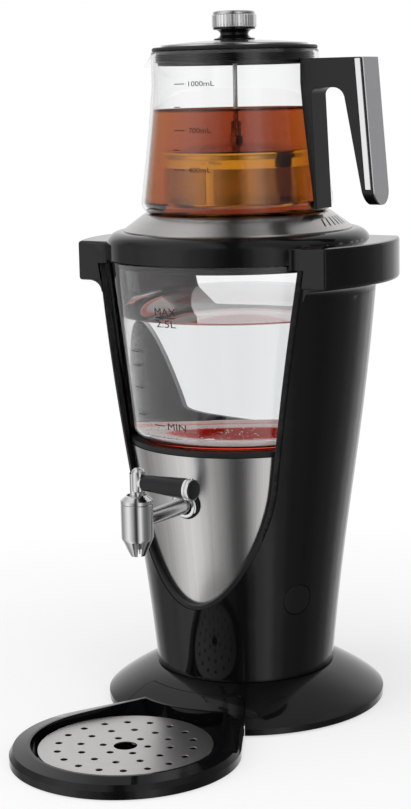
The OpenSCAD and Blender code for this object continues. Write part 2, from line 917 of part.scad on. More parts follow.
element_r = 44;
element_tube_r = 4.2;
element_plate_r = 56;
element_plate_t = 3;
element_gap_turn = 35;
element_z = floor_z - 0.1 - element_plate_t - element_tube_r + 1;
pin_h = 9;
pin_low_z = element_z - pin_h;
module heating_element() {
  color([0.75, 0.76, 0.78])
  difference() {
    union() {
      translate([0, 0, floor_z - 0.1 - element_plate_t])
        cylinder(r=element_plate_r, h=element_plate_t);
      rotate([0, 0, element_gap_turn - 90])
        rotate_extrude(angle=360 - 2 * element_gap_turn)
          translate([element_r, element_z])
            circle(r=element_tube_r, $fn=32);
      for (side = [-1, 1])
        facing(side * element_gap_turn)
          translate([0, -element_r, pin_low_z]) {
            cylinder(r=1.6, h=pin_h, $fn=24);
            translate([0, 0, pin_h])
              sphere(r=element_tube_r, $fn=32);
          }
    }
    translate([0, outlet_y, floor_z - spigot_h])
      cylinder(r=hose_r + over, h=spigot_h + over, $fn=48);
  }
}

thermostat_r = 12;
module thermostat() {
  low = floor_z - 0.2 - element_plate_t;
  color(dark_grey) {
    translate([0, 0, low - 1])
      cylinder(r=thermostat_r + 1.5, h=1, $fn=48);
    translate([0, 0, low - 7])
      cylinder(r=thermostat_r, h=6, $fn=48);
    for (side = [-1, 1])
      translate([side * 6 - 0.4, -2.5, low - 14])
        cube([0.8, 5, 7]);
  }
}

// Electrics behind the button
module control_board() {
  color([0.1, 0.35, 0.2])
  difference() {
    at_button()
      translate([-board_w / 2, board_low, -board_depth - board_t])
        cube([board_w, board_h, board_t]);
    at_button()
      for (p = board_posts)
        translate([p[0], p[1], -board_depth - board_t - over])
          cylinder(r=1.1, h=board_t + 2 * over, $fn=24);
  }
  color(dark_grey)
  at_button()
    translate([0, 0, -board_depth - board_t]) {
      translate([-9, 4, -13])
        cube([18, 14, 13]);
      translate([-13, block_top - 10, -block_t])
        cube([26, 10, block_t]);
      translate([-8, -12, -12])
        cylinder(r=5, h=12, $fn=32);
      translate([7, -12, -9])
        cylinder(r=4, h=9, $fn=32);
    }
}

stem_r = 2.2;
stem_end = button_boss_depth + 0.9;
switch_top = button_boss_depth + 0.3;
module power_switch() {
  color(dark_grey)
  at_button()
    difference() {
      translate([-5, -5, -board_depth])
        cube([10, 10, board_depth - switch_top]);
      translate([0, 0, -board_depth + 0.4])
        cylinder(r=stem_r + 0.3, h=board_depth, $fn=32);
    }
}

module power_button() {
  color(black)
  difference() {
    union() {
      intersection() {
        at_button()
          translate([0, 0, -button_seat - button_flange_t])
            cylinder(r=button_r, h=button_seat + button_flange_t + 3);
        body_core(0, base_top_z, body_top_z);
      }
      at_button()
        translate([0, 0, -button_seat - button_flange_t - slip])
          cylinder(r=button_r + button_flange, h=button_flange_t);
      at_button()
        translate([0, 0, -stem_end])
          cylinder(r=stem_r, h=stem_end - body_wall, $fn=32);
    }
    at_button()
      translate([0, 0, -button_seat - button_flange_t - over])
        difference() {
          cylinder(r=button_r - 2, h=button_seat + button_flange_t + over - body_wall);
          cylinder(r=stem_r + 1, h=button_seat + button_flange_t, $fn=32);
        }
  }
}

// Leads: a smooth curve through a few points, swept with a round section
lead_r = 1.3;
lead_sides = 8;
lead_steps = 4;
lead_x = 8;
lead_depth = board_depth + board_t + block_t / 2;
left_pin = concat(plan(element_r, -element_gap_turn), pin_low_z - 0.05);
right_pin = concat(plan(element_r, element_gap_turn), pin_low_z - 0.05);
left_lead = [left_pin, left_pin - [0, 0, 5], [-24, -32, 170], [-12, -20, 160], [10, -14, 152], [34, -12, 142],
  from_button([lead_x, block_top + 8, -lead_depth]), from_button([lead_x, block_top + 0.05, -lead_depth])];
right_lead = [right_pin, right_pin - [0, 0, 5], [26, -35.6, 171], [31, -34, 158], [39, -31.5, 145],
  from_button([-lead_x, block_top + 8, -lead_depth]), from_button([-lead_x, block_top + 0.05, -lead_depth])];
function curve_point(p, i, t) =
  let (a = p[max(i - 1, 0)], b = p[i], c = p[i + 1], d = p[min(i + 2, len(p) - 1)])
  0.5 * (2 * b + (c - a) * t + (2 * a - 5 * b + 4 * c - d) * t * t + (3 * b - a - 3 * c + d) * t * t * t);
function smooth_route(p) = concat(
  [for (i = [0:len(p) - 2]) for (j = [0:lead_steps - 1]) curve_point(p, i, j / lead_steps)],
  [p[len(p) - 1]]);
function unit(v) = v / norm(v);
function along(path, i) = unit(path[min(i + 1, len(path) - 1)] - path[max(i - 1, 0)]);
module swept(path, r, sides) {
  rings = len(path);
  points = [for (i = [0:rings - 1])
    let (dir = along(path, i), side = unit(cross(dir, [0.3, 1, 0])), up = cross(side, dir))
    for (k = [0:sides - 1])
      path[i] + r * (cos(360 * k / sides) * side + sin(360 * k / sides) * up)];
  walls = [for (i = [0:rings - 2]) for (k = [0:sides - 1])
    let (n = (k + 1) % sides)
    each [[i * sides + k, (i + 1) * sides + n, i * sides + n],
          [i * sides + k, (i + 1) * sides + k, (i + 1) * sides + n]]];
  ends = [[for (k = [0:sides - 1]) k], [for (k = [sides - 1:-1:0]) (rings - 1) * sides + k]];
  polyhedron(concat(points), concat(walls, ends));
}
module heater_leads() {
  color([0.7, 0.15, 0.1])
    swept(smooth_route(left_lead), lead_r, lead_sides);
  color([0.2, 0.3, 0.6])
    swept(smooth_route(right_lead), lead_r, lead_sides);
}

// Water way from the boiler to the tap
hose_start_y = panel_y + 13;
hose_bend_y = outlet_y - hose_bend_r;
hose_top_z = floor_z - 5;
clamp_h = 6;
clamp_t = 1.2;
barb_len = 11;

// Turns an upright shape along +Y at the height of the tap
module along_pipe(y) {
  translate([0, y, tap_z])
    rotate([-90, 0, 0])
      children();
}
module hose_piece(r) {
  along_pipe(hose_start_y)
    cylinder(r=r, h=hose_bend_y - hose_start_y, $fn=48);
  translate([0, hose_bend_y, tap_z + hose_bend_r])
    rotate([0, 90, 0])
      rotate_extrude(angle=90)
        translate([hose_bend_r, 0])
          circle(r=r, $fn=48);
  translate([0, outlet_y, tap_z + hose_bend_r])
    cylinder(r=r, h=hose_top_z - tap_z - hose_bend_r, $fn=48);
}
module outlet_hose() {
  color([0.85, 0.83, 0.78])
  difference() {
    hose_piece(hose_r);
    hose_piece(hose_bore_r);
    along_pipe(hose_start_y - over)
      cylinder(r=hose_bore_r, h=2 * over, $fn=48);
    translate([0, outlet_y, hose_top_z - over])
      cylinder(r=hose_bore_r, h=2 * over, $fn=48);
  }
}

module clamp() {
  difference() {
    union() {
      cylinder(r=hose_r + clamp_t, h=clamp_h, $fn=48);
      translate([hose_r, -3.5, 0])
        cube([6, 7, clamp_h]);
    }
    translate([0, 0, -over])
      cylinder(r=hose_r + 0.05, h=clamp_h + 2 * over, $fn=48);
  }
}
module hose_clamps() {
  color(steel) {
    along_pipe(hose_start_y + 2)
      clamp();
    translate([0, outlet_y, hose_top_z - clamp_h - 6])
      clamp();
  }
}

// Tap: barrel, pipe and shank in one piece, its plug turns inside
barrel_low = tap_z - 10.4;
barrel_high = tap_z + 13;
spout_low = tap_z - 23;
spout_r = 5;
seat_r = plug_r + plug_gap;
plug_low = tap_z - 8.8;
plug_high = tap_z + 11;
bonnet_r = 8.4;
bonnet_low = tap_z + 7;
bonnet_shoulder = barrel_high + 2.6;
bonnet_top = barrel_high + 6;
stem_top_r = 4.4;
nut_r = 10.4;
nut_t = 6;
washer_t = 1;
notch_w = 2.6;
notch_h = 6;
panel_lean = body_lean(tap_z);

module at_tap(z) {
  translate([0, tap_y, z])
    children();
}

module tap_body() {
  color(chrome)
  difference() {
    union() {
      at_tap(0)
        rotate_extrude()
          polygon([[0, spout_low], [spout_r, spout_low], [barrel_r, barrel_low], [barrel_r, barrel_high - 0.4],
            [barrel_r - 0.4, barrel_high], [0, barrel_high]]);
      along_pipe(tap_y)
        cylinder(r=pipe_r, h=tap_reach + panel_y - 2);
      along_pipe(tap_y)
        cylinder(r=shank_r, h=hose_start_y - tap_y - 0.4);
      along_pipe(tap_y)
        cylinder(r=spigot_r, h=hose_start_y - tap_y + barb_len);
    }
    at_tap(plug_low - 0.2)
      cylinder(r=seat_r, h=barrel_high);
    at_tap(bonnet_low - 0.2)
      cylinder(r=bonnet_r + 0.05, h=barrel_high);
    at_tap(spout_low - over)
      cylinder(r=way_r, h=plug_low - spout_low + 2 * over, $fn=48);
    along_pipe(tap_y)
      cylinder(r=way_r, h=tap_reach, $fn=48);
    for (turn = [0, 90])
      at_tap(spout_low - over)
        rotate([0, 0, turn + 45])
          translate([-barrel_r, -notch_w / 2, 0])
            cube([2 * barrel_r, notch_w, notch_h + over]);
  }
}

module tap_bonnet() {
  color(chrome)
  at_tap(0)
    rotate_extrude()
      polygon([[stem_top_r + plug_gap, plug_high + 0.3], [seat_r, plug_high + 0.3], [seat_r, bonnet_low],
        [bonnet_r, bonnet_low], [bonnet_r, barrel_high + 0.2], [barrel_r, barrel_high + 0.2],
        [barrel_r, bonnet_shoulder], [stem_top_r + 2.2, bonnet_top], [stem_top_r + plug_gap, bonnet_top]]);
}

// Round pieces square on the panel's slope; z is outwards from its face
module on_panel(z) {
  translate([0, panel_y, tap_z])
    rotate([90 + panel_lean, 0, 0])
      translate([0, 0, z])
        children();
}
gasket_t = 1.6;
flange_t = 2.6;
ring_bore_r = pipe_r + 0.6;
washer_bend = panel_t + 0.8;
module tap_gasket() {
  color(dark_grey)
  on_panel(0.05)
    difference() {
      cylinder(r=pipe_r + 4.7, h=gasket_t);
      translate([0, 0, -over])
        cylinder(r=ring_bore_r, h=gasket_t + 2 * over);
    }
}
module tap_flange() {
  color(chrome)
  on_panel(0.05 + gasket_t)
    rotate_extrude()
      polygon([[ring_bore_r, 0], [pipe_r + 3.7, 0], [pipe_r + 3.7, flange_t - 1.2], [pipe_r + 2.4, flange_t],
        [ring_bore_r, flange_t]]);
}
module tap_washer() {
  color(silicone)
  on_panel(-washer_bend - washer_t)
    difference() {
      cylinder(r=nut_r, h=washer_t);
      translate([0, 0, -over])
        cylinder(r=shank_r + 0.4, h=washer_t + 2 * over);
    }
}
module tap_nut() {
  color("goldenrod")
  along_pipe(panel_y + washer_bend + washer_t + nut_r * tan(panel_lean))
    difference() {
      cylinder(r=nut_r, h=nut_t, $fn=6);
      translate([0, 0, -over])
        cylinder(r=shank_r + 0.05, h=nut_t + 2 * over, $fn=48);
    }
}

// Plug and lever, which turn together
lever_z = tap_z + 28;
stem_high = tap_z + 34;
hub_shift = 2.2;
hub_r_top = 4.8;
hub_dome = 4;
grip_start = 6.4;
grip_start_r = 5.3;
collar_len = 4.6;
lever_tip = 1.4;
module at_lever() {
  translate([0, tap_y, lever_z])
    rotate([0, 0, -lever_skew])
      rotate([0, 90, 0])
        children();
}
module tap_stem() {
  color(chrome)
  difference() {
    union() {
      at_tap(plug_low)
        cylinder(r=plug_r, h=plug_high - plug_low);
      at_tap(plug_low)
        cylinder(r=stem_top_r, h=stem_high - plug_low);
      at_tap(0)
        rotate([0, 0, -lever_skew])
          translate([hub_shift, 0, 0])
            rotate_extrude()
              polygon(concat([[0, lever_z - 6.5], [hub_r_top - 0.8, lever_z - 6.5], [hub_r_top, lever_z - 5.7]],
                [for (i = [0:6]) let (a = 15 * i) [hub_r_top * cos(a), stem_high + hub_dome * sin(a)]]));
      at_lever()
        cylinder(r=grip_start_r - 0.9, h=grip_start + 1);
    }
    at_lever()
      translate([0, 0, grip_start])
        cylinder(r=grip_start_r + slip, h=hub_r_top);
    at_tap(plug_low - over)
      cylinder(r=way_r, h=tap_z - plug_low + over, $fn=48);
    at_tap(tap_z)
      rotate([0, -90, 0])
        cylinder(r=way_r, h=2 * plug_r, $fn=48);
    at_lever()
      translate([0, 0, grip_start - 4])
        cylinder(r=2.55, h=6, $fn=32);
  }
}
module lever_grip() {
  grip_end = lever_len - collar_len - lever_tip;
  color(black)
  at_lever()
    rotate_extrude()
      polygon([[0, grip_start - 3.8], [2.5, grip_start - 3.8], [2.5, grip_start + 0.1],
        [grip_start_r - 0.8, grip_start + 0.1], [grip_start_r, grip_start + 0.9],
        [lever_end_r - 0.3, grip_end], [0, grip_end]]);
}
module lever_ring() {
  z = lever_len - collar_len - lever_tip + 0.1;
  color(chrome)
  at_lever()
    rotate_extrude()
      polygon([[4, z], [lever_end_r, z], [lever_end_r, z + 1.9], [lever_end_r - 0.5, z + 2],
        [lever_end_r - 0.5, z + 2.4], [lever_end_r, z + 2.5], [lever_end_r, z + collar_len - 0.6],
        [lever_end_r - 0.5, z + collar_len - 0.1], [lever_end_r - 1, z + collar_len - 0.1],
        [lever_end_r - 1, z + collar_len - 0.9], [4, z + collar_len - 0.9]]);
}
module lever_cap() {
  z = lever_len - lever_tip - 0.7;
  color(black)
  at_lever()
    rotate_extrude()
      polygon([[0, z - 3], [3.9, z - 3], [3.9, z], [lever_end_r - 1.1, z], [lever_end_r - 1.1, z + 1.2],
        [lever_end_r - 1.9, z + 1.9], [0, z + 2.1]]);
}

// Drip tray: a round bowl whose tongue completes the flare of the base
bowl_floor_z = 2.6;
band_mid_z = 10;
ridge_w = 2;
ridge_rise = 1.8;
ridge_back = [35, -84.5];
bowl_back = [33, -86];
bowl_side = [56.5, -128.4];
bowl_back_r = 92;
tray_post_r = 4;
tray_post_reach = 53;
tray_post_turns = [45, 135, -45, -135];
pad_r = 5;
pad_turns = [0, 72, 144, -72, -144];
pad_reach = 48;

module at_tray() {
  translate([0, tray_y, 0])
    children();
}
module tray_outline(inset) {
  hull() {
    translate([0, tray_y])
      circle(r=tray_r - inset, $fn=120);
    for (side = [-1, 1])
      translate(plan(base_r + tongue_gap - inset, side * (tongue_turn - inset * 0.5)))
        circle(r=0.3, $fn=12);
  }
}
module tray_rim() {
  hull() {
    translate([0, 0, tray_low_z])
      linear_extrude(tray_band_z - tray_low_z)
        tray_outline(0);
    translate([0, 0, tray_low_z])
      linear_extrude(band_mid_z - tray_low_z)
        tray_outline(2.5);
    at_tray()
      translate([0, 0, tray_low_z])
        cylinder(r=bowl_r + ridge_w, h=ridge_z - tray_low_z, $fn=120);
    for (side = [-1, 1])
      translate([side * ridge_back[0], ridge_back[1], tray_low_z])
        cylinder(r=0.3, h=ridge_z + ridge_rise - tray_low_z, $fn=12);
  }
}
module tongue_outline(inset) {
  dock_outline(tongue_r + inset, tongue_turn - inset * 0.7, dock_corner_r);
}
module bowl_outline() {
  translate([0, tray_y])
    circle(r=bowl_r);
  difference() {
    polygon([[-bowl_side[0], bowl_side[1]], [bowl_side[0], bowl_side[1]], bowl_back,
      [bowl_back[0], bowl_back[1] + 20], [-bowl_back[0], bowl_back[1] + 20], [-bowl_back[0], bowl_back[1]]]);
    circle(r=bowl_back_r);
  }
}
module drip_tray() {
  color(black)
  difference() {
    union() {
      difference() {
        tray_rim();
        difference() {
          cylinder(r=base_r + tongue_gap, h=3 * base_top_z, center=true);
          translate([0, 0, -base_top_z])
            linear_extrude(3 * base_top_z)
              tongue_outline(0);
        }
      }
      intersection() {
        flare_solid(0);
        translate([0, 0, tray_low_z])
          linear_extrude(base_top_z)
            tongue_outline(0);
      }
    }
    translate([0, 0, bowl_floor_z])
      linear_extrude(base_top_z)
        bowl_outline();
    intersection() {
      flare_solid(base_wall);
      translate([0, 0, -over])
        linear_extrude(base_top_z)
          intersection() {
            tongue_outline(base_wall);
            circle(r=bowl_back_r - base_wall);
          }
    }
    at_tray()
      turned(-115, 115)
        polygon([[bowl_r + 2.4, -over], [tray_r - 2.4, -over], [tray_r - 2.6, tray_band_z - 1.5],
          [tray_r - 4.5, band_mid_z - 2.6], [bowl_r + 2.4, band_mid_z - 1.4]]);
  }
  color(black)
  for (turn = tray_post_turns)
    at_tray()
      facing(turn)
        translate([0, -tray_post_reach, bowl_floor_z - 0.2])
          cylinder(r=tray_post_r, h=drip_z - drip_t - bowl_floor_z + 0.2, $fn=32);
}

module tray_feet() {
  color(dark_grey)
  for (turn = pad_turns)
    at_tray()
      facing(turn)
        translate([0, -pad_reach, 0])
          cylinder(r=pad_r, h=tray_low_z, $fn=32);
}

drip_t = 1;
drip_phase = -7.2;
drip_row_gap = 15.5;
module drip_plate() {
  color(steel)
  at_tray()
    translate([0, 0, drip_z - drip_t])
      difference() {
        cylinder(r=drip_r, h=drip_t);
        translate([0, 0, -over])
          cylinder(r=drain_r, h=drip_t + 2 * over, $fn=48);
        for (row = [1:3])
          for (i = [0:6 * row - 1])
            facing(drip_phase + 60 * i / row)
              translate([0, -drip_row_gap * row, -over])
                cylinder(r=drip_hole_r, h=drip_t + 2 * over, $fn=24);
      }
}

// Cover: black ring with the upper lugs; it carries the steel ring
shoulder_z = cover_low_z + 9.5;
cover_wall = 3;
ledge_in_r = 78;
ledge_drop = 2.6;
plug_wall = 2.2;
plug_out_r = glass_r(glass_top_z) - glass_wall - 2.2;
plug_depth = 6;
notch_turn = -13;
cover_notch_w = 9.5;
module upper_lugs() {
  difference() {
    for (side = [0, 1])
      mirror([side, 0, 0]) {
        lug_block(body_top_z, body_top_z + lug_up_h, 0, lug_edge);
        for (end = [0, 1])
          mirror([0, end, 0])
            translate([0, 0, body_top_z])
              linear_extrude(lug_up_h - lug_edge)
                hollow_corner(cover_r, lug_half_w, lug_fillet_r);
      }
    cylinder(r=cover_r - 1, h=2 * body_top_z);
  }
}
module cover_ring() {
  color(black)
  difference() {
    union() {
      rotate_extrude() {
        polygon(concat([[cover_r - cover_wall, cover_low_z], [cover_r, cover_low_z]],
          [for (i = [0:8]) let (a = 90 * i / 8)
            [cover_top_r + (cover_r - cover_top_r) * cos(a), shoulder_z + (seat_z - shoulder_z) * sin(a)]],
          [[ledge_in_r, seat_z], [ledge_in_r, seat_z - ledge_drop], [cover_top_r - 1, seat_z - ledge_drop],
            [cover_r - cover_wall, shoulder_z]]));
        translate([plug_out_r - plug_wall, cover_low_z])
          square([cover_r - over - plug_out_r + plug_wall, 2.2]);
        translate([plug_out_r - plug_wall, cover_low_z - plug_depth])
          square([plug_wall, plug_depth + over]);
      }
      upper_lugs();
    }
    facing(notch_turn)
      translate([-cover_notch_w / 2, -cover_top_r - 0.8, seat_z - 1])
        cube([cover_notch_w, 1.2, 2]);
    for (turn = screw_turns)
      facing(turn)
        translate([0, -cover_screw_r, seat_z - ledge_drop - over])
          cylinder(r=1.2, h=ledge_drop + 2 * over, $fn=24);
  }
}
screw_turns = [30, 150, 270];
cover_screw_r = 80.2;
module cover_screws() {
  color(steel)
  for (turn = screw_turns)
    facing(turn)
      translate([0, -cover_screw_r, seat_z - ledge_drop])
        screw(1.9, 1.2, 1.1, ledge_drop + 0.5);
}
module cover_seal() {
  color(silicone)
  rotate_extrude()
    polygon([[plug_out_r + 0.05, cover_low_z - 5.4], [plug_out_r + 1.3, cover_low_z - 5.4],
      [plug_out_r + 1.8, cover_low_z - 4.4], [plug_out_r + 1.3, cover_low_z - 3.4],
      [plug_out_r + 1.8, cover_low_z - 2.4], [plug_out_r + 1.3, cover_low_z - 1.4],
      [plug_out_r + 1.3, cover_low_z - 0.1], [plug_out_r + 0.05, cover_low_z - 0.1]]);
}

// Steel ring: a cone with a flat seat for the teapot and slanted steam slots
cone_angle = atan2(stand_h - 0.8, stand_low_r - stand_top_r);
cone_run = stand_t / sin(cone_angle);
slot_turn = 96;
slot_step = 4.8;
slot_skew = 29;
lip_t = 0.8;
module stand_ring() {
  mid_r = (stand_low_r + stand_top_r) / 2;
  mid_z = seat_z + 0.5 * stand_h + 0.3;
  color(steel)
  difference() {
    rotate_extrude()
      polygon([[ledge_in_r + 0.6, seat_z], [stand_low_r, seat_z], [stand_low_r, seat_z + lip_t],
        [stand_top_r + 0.6, stand_z - 0.4], [stand_top_r - 0.3, stand_z], [steam_r, stand_z],
        [steam_r, stand_z - stand_t], [stand_top_r - 0.4, stand_z - stand_t],
        [stand_low_r - cone_run, seat_z + lip_t], [ledge_in_r + 0.6, seat_z + lip_t]]);
    for (i = [0:slot_count - 1])
      facing(slot_turn + slot_step * (i - (slot_count - 1) / 2))
        translate([0, -mid_r, mid_z])
          rotate([90 - cone_angle, 0, 0])
            rotate([0, 0, -slot_skew])
              translate([0, 0, -3 * stand_t]) {
                translate([-slot_w / 2, -(slot_len - slot_w) / 2, 0])
                  cube([slot_w, slot_len - slot_w, 6 * stand_t]);
                for (end = [-1, 1])
                  translate([0, end * (slot_len - slot_w) / 2, 0])
                    cylinder(r=slot_w / 2, h=6 * stand_t, $fn=24);
              }
    for (turn = screw_turns)
      facing(turn)
        translate([0, -cover_screw_r, seat_z - over])
          cylinder(r=1.15, h=over + 0.6, $fn=24);
  }
}

// Teapot: glass with a rounded foot, a straight neck and a pouring lip
pot_corner_z = stand_z + pot_corner_r;
neck_z = stand_z + 90;
pot_ease = 1.15;
pot_steps = 8;
function pot_r(z) = pot_neck_r
  + (pot_foot_r - pot_neck_r) * pow(max(0, (neck_z - z) / (neck_z - pot_corner_z)), pot_ease);
function pot_side(inset) = [for (i = [0:pot_steps])
  let (z = pot_corner_z + (neck_z - pot_corner_z) * i / pot_steps) [pot_r(z) - inset, z]];
lip_half_w = 17;
lip_low_z = rim_z - 19;
lip_tip_r = 5;

module pot_solid(grow) {
  corner = [pot_foot_r - pot_corner_r, pot_corner_z];
  rotate_extrude()
    polygon(concat([[0, stand_z - grow]], arc(corner, pot_corner_r + grow, -90, 0, 6),
      pot_side(-grow), [[pot_neck_r + grow, rim_z + grow], [0, rim_z + grow]]));
}
module lip_shape(inset) {
  hull() {
    translate([0, 0, rim_z - 1.2 + inset])
      linear_extrude(0.8) {
        translate([-lip_reach + lip_tip_r, 0])
          circle(r=lip_tip_r - inset, $fn=32);
        translate([-pot_neck_r + 4, -lip_half_w + inset])
          square([2, 2 * (lip_half_w - inset)]);
      }
    translate([-pot_neck_r + 4 - inset, 0, lip_low_z + 2 * inset])
      sphere(r=3 - inset * 0.5, $fn=24);
  }
}
module teapot_glass() {
  color(clear_glass)
  difference() {
    union() {
      pot_solid(0);
      lip_shape(0);
    }
    rotate_extrude()
      polygon(concat([[0, stand_z + pot_wall]],
        arc([pot_foot_r - pot_corner_r, pot_corner_z], pot_corner_r - pot_wall, -90, 0, 6),
        pot_side(pot_wall), [[pot_inner_r, rim_z + over], [0, rim_z + over]]));
    lip_shape(pot_wall);
  }
}

// Handle: two legs and an arm in side view, with a window between the legs
grip_top_z = stand_z + grip_top_h;
arm_low_z = grip_top_z - arm_h;
grip_round_z = stand_z + 17;
grip_low_z = grip_round_z - grip_half_w;
grip_top_x = 108;
grip_out_slope = 0.086;
grip_in_x = 93.2;
grip_in_slope = 0.18;
leg_top_x = 66.3;
leg_slope = 0.046;
leg_low_z = stand_z + 3.4;
window_r = 9;
window_small_r = 5;
pot_gap = 0.3;
function grip_out_x(z) = grip_top_x + grip_out_slope * (grip_top_z - z);
function grip_in_edge_x(z) = grip_in_x + grip_in_slope * (arm_low_z - z);
function leg_x(z) = leg_top_x + leg_slope * (grip_top_z - z);

// Space of the window, open at the bottom
module window_outline() {
  low = stand_z - 10;
  hull() {
    translate([grip_in_x - window_r, arm_low_z - window_r])
      circle(r=window_r, $fn=48);
    translate([leg_x(arm_low_z) + window_small_r, arm_low_z - window_small_r])
      circle(r=window_small_r, $fn=32);
    polygon([[leg_x(low), low], [grip_in_edge_x(low), low], [grip_in_edge_x(low), low + 1], [leg_x(low), low + 1]]);
  }
}
module grip_outline(set_back) {
  low = grip_low_z - over;
  polygon(concat(
    [[pot_inner_r, leg_low_z], [leg_x(leg_low_z) + window_small_r, leg_low_z], [grip_in_x - 2, low],
     [grip_out_x(low) - set_back, low]],
    arc([grip_out_x(grip_top_z) - set_back - 2, grip_top_z - 2], 2, 0, 90, 4),
    [[pot_inner_r, grip_top_z]]));
}
// The rounded lower end and the width of the grip
module grip_width(half_w) {
  rotate([90, 0, 90])
    linear_extrude(3 * grip_top_x)
      union() {
        translate([0, grip_round_z])
          circle(r=half_w);
        translate([-half_w, grip_round_z])
          square([2 * half_w, grip_top_z]);
      }
}
strip_inset = plate_t + 1.5;
strip_t = 4.4;
module strip_solid(grow, half_w) {
  top = grip_top_z - 0.7;
  translate([0, half_w, 0])
    rotate([90, 0, 0])
      linear_extrude(2 * half_w)
        polygon([
          [grip_out_x(grip_round_z) - strip_inset - strip_t - grow, grip_round_z - grow],
          [grip_out_x(grip_round_z) - strip_inset + grow, grip_round_z - grow],
          [grip_out_x(top) - strip_inset + grow, top + grow],
          [grip_out_x(top) - strip_inset - strip_t - grow, top + grow]]);
}
module teapot_handle() {
  color(black)
  difference() {
    translate([0, grip_half_w, 0])
      rotate([90, 0, 0])
        linear_extrude(2 * grip_half_w)
          difference() {
            grip_outline(plate_t);
            window_outline();
          }
    pot_solid(pot_gap);
    strip_solid(0, 2 * grip_half_w);
    difference() {
      translate([grip_in_x - 2, -2 * grip_half_w, 0])
        cube([grip_top_x, 4 * grip_half_w, grip_round_z]);
      grip_width(grip_half_w);
    }
  }
}
module handle_trim() {
  color(chrome)
    strip_solid(0, grip_half_w);
}
module handle_plate() {
  low = grip_low_z - over;
  color([0.55, 0.55, 0.57])
  intersection() {
    translate([0, grip_half_w, 0])
      rotate([90, 0, 0])
        linear_extrude(2 * grip_half_w)
          polygon([[grip_out_x(low) - plate_t, low], [grip_out_x(low), low],
            [grip_out_x(grip_top_z), grip_top_z], [grip_out_x(grip_top_z) - plate_t, grip_top_z]]);
    grip_width(grip_half_w);
  }
}

// Lid with its knob
collar_wall = 2;
lid_hole_r = lid_plate_r - 6.3;
rod_hole_r = rod_r + 0.05;
gasket_low_z = rim_z - 8;
plate_edge_h = 1.6;
neck_low_z = plate_z + plate_edge_h + lid_crown;
neck_h = 8.9;
neck_low_r = 14.6;
waist_r = 9.9;
knob_h = 8.6;
knob_z = neck_low_z + neck_h;
rib_depth = 0.5;
knob_cap_h = 3;
function lid_dome(r) = plate_z + plate_edge_h + lid_crown * (1 - pow(r / lid_plate_r, 2));

module lid_ring() {
  color(black)
  rotate_extrude() {
    polygon([[lid_hole_r, lid_z], [lid_r - 0.6, lid_z], [lid_r, lid_z + 0.6], [lid_r, plate_z - 0.8],
      [lid_r - 0.8, plate_z], [lid_hole_r, plate_z]]);
    translate([collar_r - collar_wall, lid_z - collar_h])
      square([collar_wall, collar_h + 1]);
  }
}
module lid_gasket() {
  color(silicone)
  rotate_extrude()
    polygon(concat([[collar_r + 0.05, gasket_low_z], [collar_r + 1, gasket_low_z]],
      [for (i = [0:2]) each [[pot_inner_r - 0.3, gasket_low_z + 0.8 + 1.7 * i],
        [collar_r + 1, gasket_low_z + 1.7 + 1.7 * i]]],
      [[collar_r + 0.05, gasket_low_z + 5.1]]));
}
module lid_plate() {
  steps = 8;
  inner_r = lid_plate_r - 1.1;
  color(steel)
  rotate_extrude()
    polygon(concat(
      [for (i = [0:steps]) let (r = rod_hole_r + (lid_plate_r - 0.4 - rod_hole_r) * i / steps) [r, lid_dome(r)]],
      [[lid_plate_r, plate_z + plate_edge_h - 0.4], [lid_plate_r, plate_z], [inner_r, plate_z]],
      [for (i = [steps:-1:0]) let (r = rod_hole_r + (inner_r - rod_hole_r) * i / steps) [r, lid_dome(r) - 1]]));
}
module knob_neck() {
  color(black)
  rotate_extrude()
    polygon(concat([[rod_hole_r, neck_low_z], [neck_low_r, neck_low_z], [neck_low_r, neck_low_z + 0.8]],
      [for (i = [0:6]) let (a = -90 + 30 * i)
        [waist_r + (neck_low_r - waist_r) * (1 - cos(a)) * 0.9, neck_low_z + 4.2 + 3 * sin(a)]],
      [[knob_r - 0.8, neck_low_z + 7.4], [knob_r - 0.8, knob_z - 0.1], [rod_hole_r, knob_z - 0.1]]));
}
module knob_ring() {
  color(chrome)
  translate([0, 0, knob_z])
    linear_extrude(knob_h)
      difference() {
        polygon([for (i = [0:2 * knob_ribs - 1])
          let (a = 180 * i / knob_ribs, r = knob_r - (i % 2) * rib_depth) r * [cos(a), sin(a)]]);
        circle(r=10);
      }
}
module knob_cap() {
  r = knob_r - 0.9;
  color(steel)
  rotate_extrude()
    polygon(concat([[3.2, knob_z + 2.4], [9.9, knob_z + 2.4], [9.9, knob_z + knob_h + 0.1], [r, knob_z + knob_h + 0.1],
      [r, knob_z + knob_h + 1]],
      [for (i = [0:5]) let (a = 90 * i / 5) [(r - 1.5) + 1.5 * cos(a), knob_z + knob_h + 1 + (knob_cap_h - 1.4) * sin(a)]],
      [[0, knob_z + knob_h + knob_cap_h], [0, knob_z + 5.5], [3.2, knob_z + 5.5]]));
}

